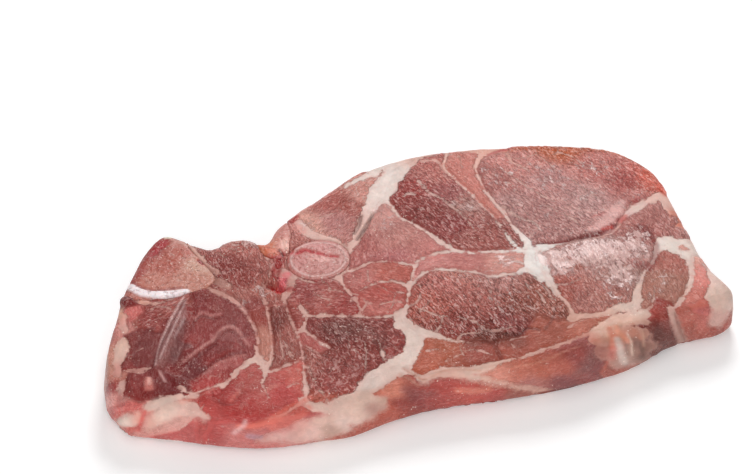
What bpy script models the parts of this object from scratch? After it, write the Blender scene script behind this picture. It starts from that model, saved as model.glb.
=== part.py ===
"""Raw pork neck chop with its bones: a slab of meat that a vertebra, a round bone
and a thin bone chip run through. Metres, +Z up; the origin is at the bottom centre."""

import functools
import math

import bmesh
import bpy
import numpy as np
from mathutils import Vector

MM = 0.001

# Driving dimensions, in metres.
LENGTH = 0.2180
DEPTH = 0.1193
THICKNESS = 0.018
BONE_GAP = 0.0003
RIM_RADIUS = 0.0032
CELL = 0.0042
STEPS_A_POINT = 4

# The outline on a plan in mm, anticlockwise from the loin end's tip. LENGTH and DEPTH set its size.
LOIN_END = [(107, -45), (103.5, -31), (104, -16), (105.5, 2), (106.5, 17), (103.5, 29)]
BACK = [(94, 41), (79, 48), (63, 53), (48, 57), (31, 59), (14, 58.5), (0, 55.5), (-10, 49.5), (-20, 43.5)]
NOTCHES = [(-29, 38.5), (-37, 33), (-43, 26), (-49, 30.5), (-56, 31), (-63, 28.5), (-69.5, 35.5)]
SPINE = [(-77, 41), (-85, 34), (-91, 24.5), (-98, 12), (-104, -2), (-109, -14), (-111, -26), (-107, -37)]
FRONT = [(-98, -42), (-86, -48), (-70, -55.5), (-52, -59.5), (-36, -60), (-20, -57), (-6, -56.5), (8, -57.5)]
FRONT_LOIN = [(26, -59.5), (46, -59.5), (60, -58.5), (71, -56), (80, -52), (90, -51), (101, -50.5)]
OUTLINE = LOIN_END + BACK + NOTCHES + SPINE + FRONT + FRONT_LOIN

# The bones' outlines on the same plan. The vertebra's runs past the spine edge.
VERTEBRA = [(-104, 24), (-97, 11.5), (-89, 8), (-80, 7), (-71, 7.5), (-65, 11.5), (-67, 21), (-70, 31)]
VERTEBRA_OUTSIDE = [(-71.5, 42), (-76, 50), (-92, 44)]
ROUND_BONE = {"centre": (-27.6, 11.2), "radii": (11.2, 10.4), "turn": 12.0}
BONE_CHIP = [(-45, 19), (-41, 15.5), (-37, 17.5), (-35, 23), (-33, 29), (-34, 42), (-42, 40), (-46, 33), (-46, 25)]

# Where the top rolls down to the wall on more than the usual radius: place, reach, radius in mm.
SOFT_RIMS = [
    ((-92, -46), 34, 5.0),
    ((-112, -20), 24, 2.5),
    ((-40, -62), 26, 3.0),
    ((66, -58), 18, 5.0),
    ((108, -48), 20, 2.5),
]

# The muscles that stand a little over the fat between them: place, half length, half
# depth, turn in degrees and height, in mm.
MUSCLES = [
    ((58, 36), 40, 19, -8, 1.0),
    ((12, 30), 26, 20, 60, 0.6),
    ((-4, -17), 32, 15, 4, 0.8),
    ((66, -2), 26, 17, 25, 0.7),
    ((90, -22), 11, 15, 10, 0.4),
    ((-52, 8), 14, 18, -20, 0.6),
    ((-78, -16), 22, 17, 40, 0.7),
    ((-44, -36), 26, 12, -6, 0.6),
    ((-20, -14), 14, 12, 0, 0.5),
    ((-24, 34), 14, 9, 35, 0.4),
]

MEAT_COLOUR = (0.40, 0.13, 0.12)
BONE_COLOUR = (0.62, 0.36, 0.30)

# How the wall goes down from the rim: share of the height gone, and how far it stands in, in mm.
WALL = [(0.25, -0.3), (0.6, -0.4), (0.88, 0.2), (1.0, 1.6)]
RIM_SHARES = (0.12, 0.22, 0.3, 0.36)


def clear_scene():
    for old in list(bpy.data.objects):
        bpy.data.objects.remove(old, do_unlink=True)


def collection(name):
    made = bpy.data.collections.new(name)
    bpy.context.scene.collection.children.link(made)
    return made


def smooth_ring(points, steps=STEPS_A_POINT):
    """A closed Catmull-Rom curve through the points."""
    knots = np.array(points, float)
    ring = []
    for i in range(len(knots)):
        a, b, c, d = (knots[(i + k) % len(knots)] for k in (-1, 0, 1, 2))
        for t in np.arange(steps) / steps:
            along = (c - a) * t + (2 * a - 5 * b + 4 * c - d) * t**2 + (3 * b - a - 3 * c + d) * t**3
            ring.append(b + along / 2)
    return np.array(ring)


@functools.cache
def plan_box():
    outline = smooth_ring(OUTLINE)
    return outline.min(axis=0), outline.max(axis=0)


def on_plan(points):
    """Plan points in metres: the outline's box is centred and takes the driving length and depth."""
    low, high = plan_box()
    return (np.array(points, float) - (low + high) / 2) / (high - low) * (LENGTH, DEPTH)


def ellipse_ring(centre, radii, turn, count=28):
    turn = math.radians(turn)
    angles = 2 * math.pi * np.arange(count) / count
    across = radii[0] * np.cos(angles)
    up = radii[1] * np.sin(angles)
    x = centre[0] + across * math.cos(turn) - up * math.sin(turn)
    y = centre[1] + across * math.sin(turn) + up * math.cos(turn)
    return np.stack([x, y], axis=1)


def outward_normals(ring):
    along = np.roll(ring, -1, axis=0) - np.roll(ring, 1, axis=0)
    normal = np.stack([along[:, 1], -along[:, 0]], axis=1)
    return normal / np.linalg.norm(normal, axis=1)[:, None]


def grown(ring, margin):
    return ring + outward_normals(ring) * margin


def edge_distance(ring, point):
    """How far a plan point is from the outline, and which of its points is nearest."""
    ends = np.roll(ring, -1, axis=0)
    step = ends - ring
    share = ((point - ring) * step).sum(axis=1) / (step * step).sum(axis=1)
    nearest = ring + step * np.clip(share, 0, 1)[:, None]
    away = np.linalg.norm(nearest - point, axis=1)
    return away.min(), int(away.argmin())


def rim_radius(x, y):
    """The rim's radius at a place, larger where the edge is soft fat."""
    radius = RIM_RADIUS
    for centre, reach, more in SOFT_RIMS:
        cx, cy = on_plan(centre)
        away = math.hypot(x - cx, y - cy) / (reach * MM)
        radius += more * MM * math.exp(-(away**2) * 2)
    return radius


def muscle_height(x, y):
    height = 0.0
    for centre, half_length, half_depth, turn, rise in MUSCLES:
        cx, cy = on_plan(centre)
        turn = math.radians(turn)
        u = ((x - cx) * math.cos(turn) + (y - cy) * math.sin(turn)) / (half_length * MM)
        v = ((y - cy) * math.cos(turn) - (x - cx) * math.sin(turn)) / (half_depth * MM)
        height += rise * MM * math.exp(-((u * u + v * v) ** 1.5))
    return height


def top_height(ring, x, y):
    away, _ = edge_distance(ring, np.array([x, y]))
    radius = rim_radius(x, y)
    roll = 0.0
    if away < radius:
        roll = radius - math.sqrt(max(radius**2 - (radius - away) ** 2, 0.0))
    return THICKNESS - 0.8 * MM + muscle_height(x, y) - roll


def cut_into_cells(bm, face):
    """Divides the flat face into a grid, so that the muscles can rise in it."""
    geometry = [face, *face.edges, *face.verts]
    for normal, reach in (((1, 0, 0), LENGTH), ((0, 1, 0), DEPTH)):
        count = int(reach / 2 / CELL)
        for k in range(-count, count + 1):
            cut = bmesh.ops.bisect_plane(
                bm,
                geom=geometry,
                dist=0.25 * MM,
                plane_co=Vector(normal) * (k * CELL),
                plane_no=normal,
            )
            geometry = cut["geom"]


def lower_wall(bm, ring):
    """Extrudes the rim down to the base, with a slight belly and a turned-in foot."""
    normals = outward_normals(ring)
    edges = [edge for edge in bm.edges if edge.is_boundary]
    rim = {}
    for edge in edges:
        for vert in edge.verts:
            nearest = edge_distance(ring, np.array(vert.co.xy))[1]
            rim[vert] = (vert.co.copy(), Vector(normals[nearest]))
    for share, inwards in WALL:
        made = set(bmesh.ops.extrude_edge_only(bm, edges=edges)["geom"])
        edges = [item for item in made if isinstance(item, bmesh.types.BMEdge)]
        lowered = {}
        for above, (start, normal) in rim.items():
            below = next(edge.other_vert(above) for edge in above.link_edges if edge.other_vert(above) in made)
            below.co.xy = start.xy - normal * inwards * MM
            below.co.z = start.z * (1 - share)
            lowered[below] = (start, normal)
        rim = lowered
    bmesh.ops.contextual_create(bm, geom=edges)


def slab_mesh():
    """The whole chop as one closed body, before the bones are set in it."""
    ring = on_plan(smooth_ring(OUTLINE))
    bm = bmesh.new()
    face = bm.faces.new([bm.verts.new((x, y, 0)) for x, y in ring])
    for share in RIM_SHARES:
        bmesh.ops.inset_region(bm, faces=[face], thickness=share * RIM_RADIUS, use_boundary=True)
    cut_into_cells(bm, face)
    for vert in bm.verts:
        vert.co.z = top_height(ring, vert.co.x, vert.co.y)
    lower_wall(bm, ring)
    bmesh.ops.recalc_face_normals(bm, faces=bm.faces[:])
    mesh = bpy.data.meshes.new("slab")
    bm.to_mesh(mesh)
    bm.free()
    return mesh


def prism(name, ring, into):
    """A straight cutter over the full height, on a plan outline."""
    bm = bmesh.new()
    face = bm.faces.new([bm.verts.new((x, y, -THICKNESS)) for x, y in ring])
    side = bmesh.ops.extrude_face_region(bm, geom=[face])["geom"]
    tops = [item for item in side if isinstance(item, bmesh.types.BMVert)]
    bmesh.ops.translate(bm, verts=tops, vec=(0, 0, 3 * THICKNESS))
    bmesh.ops.recalc_face_normals(bm, faces=bm.faces[:])
    mesh = bpy.data.meshes.new(name)
    bm.to_mesh(mesh)
    bm.free()
    cutter = bpy.data.objects.new(name, mesh)
    cutter.hide_render = True
    cutter.display_type = "WIRE"
    into.objects.link(cutter)
    return cutter


def boolean(obj, cutter, operation):
    modifier = obj.modifiers.new(cutter.name, "BOOLEAN")
    modifier.object = cutter
    modifier.operation = operation
    modifier.solver = "EXACT"


def material(name, colour, roughness):
    made = bpy.data.materials.new(name)
    made.use_nodes = True
    shader = made.node_tree.nodes["Principled BSDF"]
    shader.inputs["Base Color"].default_value = (*colour, 1)
    shader.inputs["Roughness"].default_value = roughness
    shader.inputs["Metallic"].default_value = 0.0
    return made


def piece(name, mesh, finish, into):
    obj = bpy.data.objects.new(name, mesh)
    obj.data.materials.append(finish)
    obj.data.shade_smooth()
    obj.data.set_sharp_from_angle(angle=math.radians(35))
    into.objects.link(obj)
    return obj


def main():
    clear_scene()
    parts = collection("pork_chop")
    cutters = collection("cutters")
    whole = slab_mesh()
    meat = piece("meat", whole.copy(), material("raw_meat", MEAT_COLOUR, 0.35), parts)
    bones = {
        "vertebra": smooth_ring(VERTEBRA + VERTEBRA_OUTSIDE),
        "round_bone": ellipse_ring(**ROUND_BONE),
        "bone_chip": smooth_ring(BONE_CHIP),
    }
    for name, plan in bones.items():
        ring = on_plan(plan)
        boolean(meat, prism(f"{name}_socket", grown(ring, BONE_GAP / 2), cutters), "DIFFERENCE")
        bone = piece(name, whole.copy(), material(name, BONE_COLOUR, 0.5), parts)
        boolean(bone, prism(f"{name}_body", grown(ring, -BONE_GAP / 2), cutters), "INTERSECT")
    bpy.data.meshes.remove(whole)


main()
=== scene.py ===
"""A raw bone-in pork neck chop on a pale table: flesh, marbling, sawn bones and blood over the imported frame.

Plan positions are millimetres in the frame's own x and y, and a third number is a half-width."""

import heapq
import math

import bpy
import numpy as np
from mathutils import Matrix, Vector


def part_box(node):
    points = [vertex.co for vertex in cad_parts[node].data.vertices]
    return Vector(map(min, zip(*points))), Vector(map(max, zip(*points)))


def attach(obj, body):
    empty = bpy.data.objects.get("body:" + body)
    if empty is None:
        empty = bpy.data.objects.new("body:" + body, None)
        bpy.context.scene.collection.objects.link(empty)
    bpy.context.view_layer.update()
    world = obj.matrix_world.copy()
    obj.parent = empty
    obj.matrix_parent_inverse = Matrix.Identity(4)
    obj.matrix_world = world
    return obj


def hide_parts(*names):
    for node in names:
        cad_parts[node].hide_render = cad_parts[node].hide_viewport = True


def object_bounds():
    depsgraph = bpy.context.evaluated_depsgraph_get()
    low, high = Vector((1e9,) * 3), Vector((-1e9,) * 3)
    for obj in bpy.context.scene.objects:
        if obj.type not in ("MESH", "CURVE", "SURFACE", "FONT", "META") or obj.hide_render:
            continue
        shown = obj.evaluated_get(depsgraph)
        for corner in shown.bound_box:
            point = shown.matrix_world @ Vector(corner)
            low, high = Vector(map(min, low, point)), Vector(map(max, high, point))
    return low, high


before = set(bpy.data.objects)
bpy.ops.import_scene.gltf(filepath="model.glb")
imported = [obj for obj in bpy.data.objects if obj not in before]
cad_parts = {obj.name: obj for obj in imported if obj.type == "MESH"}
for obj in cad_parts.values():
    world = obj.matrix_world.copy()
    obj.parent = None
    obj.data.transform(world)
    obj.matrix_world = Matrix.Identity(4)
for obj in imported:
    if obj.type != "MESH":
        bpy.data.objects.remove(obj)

bl_info = {
    "name": "Raw pork neck chop",
    "version": (1, 0, 0),
    "blender": (4, 5, 0),
    "location": "View3D > Sidebar > Pork chop",
    "description": "Builds a raw bone-in pork chop with marbled flesh and sawn bones",
    "category": "Add Mesh",
}

CAD_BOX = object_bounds()
MM = 0.001
MERGE_DISTANCE = 0.00002

# The plan raster that the seams, muscles and relief are worked out on, with its margins round the chop.
RASTER_CELL = 0.25
RASTER_LOW = (10.0, 25.0)
RASTER_HIGH = (4.0, 4.0)
REACH = 3.0
# Marks down the front wall are set out at the cut face's level, along lines to a point in front.
CUT_LEVEL = 18.0
LAYOUT_POINT = np.array([-153.0, -476.0, 450.0])
# How bright the stage makes a surface, and the share of light that its wet sheen adds.
LIGHT = np.array([0.755, 0.695, 0.69])
SHEEN = np.array([0.070, 0.066, 0.064])
FAT_LIGHT = 0.80
BONE_LIGHT = 0.80
# How much light coarse grain loses to its own shadows.
GRAIN_SHADE = 0.18
# The least share of a colour that is left under the sheen, for broad tints and for small marks.
TINT_LEAST = 0.4
MARK_LEAST = 0.6
# How far one tint reaches before the next takes over, in millimetres.
LEAN_SPREAD = 9.0
FAT_SPREAD = 12.0
BONE_SPREAD = 4.0
# How wet the flesh is outside the wet areas.
DAMP = 0.25
# The sides that the other chops hide: how far in from the rim their colours are read, at the top and
# for each millimetre down, how far those colours lean and wander aside, and the quiet lean they tend to.
BACK_INWARD = (3.0, 0.3)
BACK_ASIDE = (0.12, 5.0)
BACK_LEAN = "#a5655f"
BACK_CALM = 0.45
# The share of its faces that the flat underside keeps, and that the back wall keeps.
UNDERSIDE_FACES = 0.10
BACK_FACES = 0.45
# How much softer the fat's edges are on the walls, and how far they and the walls wander, in millimetres.
WALL_SOFTNESS = 0.72
BACK_SEAM_WANDER = 1.4
WALL_SWELL = 0.3
# The share of the sheen that the front wall doesn't catch.
FRONT_SHEENLESS = 0.15
# How much less coarse the grain is on the hidden sides.
BACK_SMOOTHING = 0.4
# Seams that come within this many millimetres of each other run together.
SEAM_BLEND = 0.8
# Muscles grow over every third raster cell, and crossing fat costs this many cells.
GROWTH_STEP = 3
FAT_COST = 30.0
# Relief of the cut face, in millimetres: lean swells above the fat, with a crease along each seam.
LEAN_SWELL = 0.42
SEAM_CREASE = 0.2
CREASE_WIDTH = 0.45
THREAD_CREASE = 0.12
BUNDLE_HEIGHT = 0.26
GRIT_HEIGHT = 0.05
# Each broad swell's size and rise in millimetres, and its seed.
SWELLS = ((14, 0.3, 11), (5, 0.14, 21))
# The radius at which a fan of grain is as wide as it is drawn.
HUB_RADIUS = 24
# The compact ring in a bone: how far it lies inside the outline, and its rise, in millimetres.
RING_INSET = 1.3
RING_RISE = 0.2

CORNER = np.array([math.floor(CAD_BOX[0][i] / MM - RASTER_LOW[i]) for i in (0, 1)], float)
RASTER = tuple(
    int((CAD_BOX[1][i] / MM + RASTER_HIGH[i] - CORNER[i]) / RASTER_CELL) + 1 for i in (1, 0)
)

# Seams of fat: points along the middle of each, with its half-width.
FAT_SEAMS = {
    "tongue_top": "-100,-46,1.5 -96.5,-43.5,2.2 -92,-42.5,2.2 -86,-42,1.6 -82,-43,1.1",
    "corner_low": "-52.5,-69,5.1 -44,-68,5 -36,-65,4 -29,-60.5,3.1",
    "corner_foot": "-49,-72,2.6 -40,-71,2.6",
    "fall_1": "58,-51,3.2 63.5,-50.5,3.3 69,-50,3.4 71.5,-53,1.6",
    "fall_2": "54,-56,4.3 59,-56.5,4.3 64,-57,4.4 68,-58.5,3.3",
    "fall_3": "53,-63,4.2 58,-63.5,4.2 63,-64,4.2 68.5,-64.5,2.8",
    "fall_4": "55,-68.5,3.6 59,-68.5,3.6 64,-68,3.2",
    "wall_band": "83,-48,1.4 82.5,-51,1.5 81.5,-54,1.6 80.5,-60,1.8 80,-65.5,2.1",
    "strap_left": "2,-9.5,0.4 4.5,-4.5,0.5 7,-0.5,0.5 11,1.5,0.5 15.5,2.5,0.5 19.5,2.2,0.6",
    "wall_streak": "-4.5,-56,1.4 1.5,-58.5,2.1 7.5,-61.5,1.9 13,-65.5,1.4 18.5,-69,1.2 24.5,-72.5,1.2 "
        "29,-75,0.9",
    "wall_shoulder": "-40.5,-62,3.5 -37,-60,3.6 -34,-58.5,2.4",
    "wall_corner": "-66.5,-68.5,1.3 -61,-69,2.6 -54.5,-70,3.9 -47.5,-69,4.2 -41,-66.5,3.7 -36.5,-64.5,3.2",
    "wall_brown": "-35.5,-68.5,3 -31.5,-66,3.8 -26.5,-63,3.5",
    "wall_end": "105.5,-45,3.1 101,-52,3.7 94.5,-60,3",
    "knob": "-106,-47.5,3.1 -103.5,-47.5,3.4 -101.5,-46,1.9",
    "tongue": "-99,-51.5,2 -95.5,-49,3.7 -91,-47.5,4 -87,-47.5,3.6 -83.5,-50.5,2.4 -81.5,-53.5,1.5",
    "left_salmon": "-97.5,8.5,1 -98,2,1.4 -98,-5.5,1.3",
    "left_pale": "-99.5,-8,0.9 -100.5,-11.5,2.2 -101.5,-15.5,2.5 -103.5,-19,1.6 -104.5,-25,1.1",
    "left_strip": "-103.5,-29,1 -105.5,-35,1.1 -106.5,-39,1",
    "ring_h": "86.5,-25,0.34 90.5,-19.5,1.18 94.5,-16,3.2 97.5,-17.5,4.66 99.5,-22,3.4 99,-29,1.77 "
        "96.5,-35.5,1.18 92.5,-41.5,1.07 88,-45.5,0.96 84.5,-48.5,0.77",
    "seam_fh": "86.5,-25,0.54 82,-28,0.61 78.5,-32.5,0.87 75.5,-37,1.4 73,-42,1.91 70,-44,2.72 "
        "66.5,-43,2.04 61,-44,1.29 57,-44,1.18 52.5,-43,1.4 49,-43,2.04",
    "corner_fat": "83,-1,0.6 88.5,3,1.3 93.5,6,2.1 98.5,7.5,2 104,9,2.4 105,4,2.6 104.5,-2.5,2.9 "
        "104.5,-11,3.2 104,-18,3.2 103.5,-23.5,2.4",
    "end_block": "102.5,-30,1.8 103,-34.5,2.5 103,-41,3.7 101,-47.5,4.7 100,-52.5,4.4",
    "star": "48,-4,2.04 47,-9.5,3.2 46,-15,3.3 46,-20.5,1.65",
    "star_left": "46.5,-5.5,1.29 42.5,-4,1.07 37.5,-3,0.77 32,-1.5,0.77 27,-0.5,0.77 23.5,1,0.96 "
        "21,4,1.18 18.5,8.5,1.29 16.5,13,0.87 13.5,18,0.68 11,22,0.54 9,25,0.61 8,30,0.68 7,35.5,0.96",
    "star_low": "42,-15,1.65 38,-16,0.68 34.5,-15.5,0.61 29,-15,0.77 25,-11.5,0.54 21,-9.5,0.48 "
        "17,-7.5,0.54 13,-6.5,0.48 8,-6.5,0.48 5,-8.5,0.54 2,-11,0.87",
    "star_up": "48.5,-1,1.91 47.5,4,1.18 46.5,9,0.77 46,15.5,0.61 45,20.5,0.77 44,26.5,0.61 43,30.5,0.41 "
        "43.5,34.5,0.27 43.5,39,0.41 44.5,44,0.54 47,48.5,1.07 50.5,52,1.91",
    "star_right": "52,-5.5,2.62 54.5,-6,1.29 57.5,-5.5,0.77 62.5,-6,0.54 68.5,-6,0.34 74,-6.5,0.34 "
        "79,-5.5,0.34 83.5,-2,0.54",
    "star_down": "49.5,-11,2.18 49,-17,1.4 48.5,-24,1.4 48.5,-30,1.07 50,-34,0.87 50,-38,0.77 "
        "49.5,-41.5,1.29",
    "f2": "23.5,56.5,2.52 18,53.5,4.07 13,48.5,4.46 7,41.5,4.85 3,37,3.49 -1.5,31,2.42 -5.5,25,2.18 "
        "-9.5,19,1.65 -13,14.5,1.65 -17,9.5,1.18 -20,5.5,1.18 -21.5,2,1.52 -21.5,-2.5,1.18 -21,-7,0.68 "
        "-20,-11,0.41",
    "top_edge": "7,54,1.91 13,56.5,2.72 19,57,2.33 25,57,1.52 30,57.5,1.07 35.5,58.5,0.87 39.5,58.5,1.18 "
        "45,57,1.65 48,55,1.65 51.5,53.5,3.01 55.5,52.5,2.42 59,52,1.52",
    "granular": "-5,48,0.68 -0.5,50.5,1.18 4,52,2.04 7.5,52.5,2.18",
    "b_right": "37.5,56.5,0.54 35,52,0.41 33.5,47.5,0.48 34,43.5,0.61 35,39.5,0.48 36.5,34,0.48 "
        "38,29,0.48 39,24,0.48 40.5,19.5,0.48 42,13,0.41 42.5,7,0.54 43,1,0.68 44,-3.5,0.96",
    "c_low": "-21,3.5,0.96 -16.5,2.5,0.68 -13.5,3,0.48 -9.5,4.5,0.54 -6,4.5,0.48 -1.5,3,0.41 1.5,1.5,0.68 "
        "4,-0.5,0.96 5.5,-1.5,0.96",
    "lobes_low": "-17.5,-9.5,0.34 -13.5,-8,0.34 -8.5,-7,0.48 -4.5,-8,0.48 -2,-9.5,0.48 0,-12,1.18",
    "lobes_right": "1.5,-10,0.77 0,-14,0.48 -2,-18,0.48 -3.5,-21.5,0.87 -6,-25.5,1.4 -8.5,-29.5,2.33",
    "f6_low": "-6.5,-24.5,1.18 -12,-24.5,0.48 -17,-23.5,0.54 -21,-21.5,0.77 -25,-20.5,0.48 -28,-19,0.61 "
        "-31.5,-18,0.68 -35.5,-16.5,0.68 -38,-15.5,1.18",
    "stem_right": "-49,-0.5,0.48 -49.5,-8.5,0.61 -50.5,-16,0.48 -51.5,-22,0.48 -53,-28.5,0.48 "
        "-54.5,-33,0.48 -56.5,-36.5,0.61",
    "arc": "-67,9.5,0.61 -64.5,5.5,1.29 -61.5,2,1.18 -59,-2,0.87 -57.5,-6,0.68 -56.5,-12,0.61 -56,-17,0.54 "
        "-56.5,-23,0.48 -58,-28,0.68 -58,-32,1.4 -58,-35,1.4 -57.5,-38,0.96 -58.5,-40.5,0.68 -60,-43,0.48",
    "arc_left": "-59,-31,1.4 -62,-32.5,1.18 -65.5,-34.5,1.07 -69,-37.5,0.87 -71,-39,0.87 "
        "-73,-41.5,0.48",
    "arc_left2": "-71,-39,0.61 -75,-40,0.48 -78.5,-40.5,0.48 -82,-41,0.61 -85,-39,0.77 -86,-37,0.54",
    "arc_right": "-57,-38.5,0.87 -53.5,-38.5,0.54 -49.5,-37.5,0.54 -47,-37,0.48 -44.5,-35.5,0.54",
    "strip_right": "-43,-5,0.61 -43,-10.5,0.48 -43,-16,0.48 -43,-21,0.48 -43,-26.5,0.48 -43.5,-31,0.48 "
        "-44,-36,0.48 -45.5,-41.5,0.54 -46.5,-46.5,0.68 -47.5,-52,0.96 -50.5,-56,0.96 -54,-58,0.68 "
        "-57,-59.5,0.61 -61.5,-60,0.48",
    "strip_tex": "-38,-8,0.34 -38,-12.5,1.07 -38,-17.5,0.68 -40.5,-22,0.77 -42.5,-23,0.61",
    "salmon_top": "-40.5,-22,0.87 -39,-25.5,0.54 -37.5,-29,0.54 -35.5,-32.5,0.68 -34.5,-34,0.48",
    "sliver": "-43.5,-40.5,0.34 -43.5,-46.5,0.34 -42.5,-51.5,0.34 -42,-55.5,0.27 -42,-58.5,0.34",
    "low_fat": "-49,-54,1.5 -47.5,-58.5,2 -43.5,-61,2.7 -39.5,-63.5,3.2 -35,-64,2.2",
    "delta": "-6.5,-29,2.52 -5.5,-36,3.01 -8.5,-43,3.1 -14,-47.5,4.17 -19.5,-50,4.27 -25,-53.5,4.46 "
        "-30.5,-58,3.2 -34.5,-63,1.4",
    "delta_e": "-5,-32,2.18 -1.5,-36,2.33 2,-38,1.4 5,-40.5,0.68 7.5,-42.5,0.48",
    "fringe1": "-12.5,-42,0.27 -13,-39,0.14",
    "fringe2": "-19,-45,0.54 -18,-41.5,0.48 -18,-39.5,0.27",
    "fringe3": "-26,-49,0.34 -25.5,-46,0.2 -25,-43,0.07",
    "crest": "-15,-50,1.29 -11.5,-52.5,0.96 -9,-57.5,1.65 -5.5,-56,1.91 -1.5,-55,2.18 2.5,-57.5,2.33 "
        "7.5,-58.5,2.18 13,-58,2.04 17.5,-57,0.96 25,-56.5,0.77 34.5,-55,0.77 42,-54,0.61 49.5,-52.5,0.77 "
        "56,-50,0.87 61,-47.5,1.52 65.5,-47.5,2.04 70,-48,2.33 73.5,-48,2.33",
    "vert_low": "-93,13.5,1.4 -90,9,1.65 -85.5,6,0.68 -80,6.5,0.54 -74,8.5,0.48",
    "notch_light": "-68,33,1.29 -66,25,1.77 -64,18,1.91 -61.5,15.5,1.52",
    "olive": "-63.5,12.5,0.96 -61.5,9,2.04 -59.5,6,1.4",
    "brown_right": "-49,31.5,0.54 -46,29,0.48 -44,25,0.54 -43,20.5,0.54 -42.5,15.5,0.48 -43,11,0.61 "
        "-45,7,0.48 -47.5,3,0.61",
    "hole_zone": "-42,12,1.07 -39.5,8.5,2.18 -37,5.5,1.65 -38.5,0.5,1.52 -41.5,-3,1.65 -43.5,-5.5,0.77",
    "oval_top": "-27,33,1.91 -25.5,28,2.04 -23,24,2.42 -19,20,2.42 -15,14.5,1.77",
    "oval_ring": "-36,12.5,0.54 -35.5,6.5,0.54 -33.5,2.5,0.48 -29,0,0.41 -23.5,0,0.48 -18.5,2.5,0.54 "
        "-15.5,7.5,0.48 -14.5,14,0.77",
    "chip_left": "-43.5,25.5,0.54 -43,20.5,0.54 -42.5,16,0.48",
}

# Lean that shows inside the fat seams, as routes like theirs.
LEAN_ISLANDS = {
    "strip_i": "102.5,-27,1.3 101,-33,2.1 98.5,-40,2.4 94,-44.5,2.5 90,-48,1.6",
    "nodule": "102,-12,3.4 103,-12.5,3.4",
    "orange_spot": "104,-3,0.9 103,-6,1.3",
    "pink_streaks": "99,4.5,2 100,0.5,2.4 101,-4,1.8",
    "spot_small": "100,-20,1.1 101,-21,1.1",
    "triangle": "-27.5,0.5,0.8 -24.5,-1.5,1.7 -22.5,-5.5,1.3",
}

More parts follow.
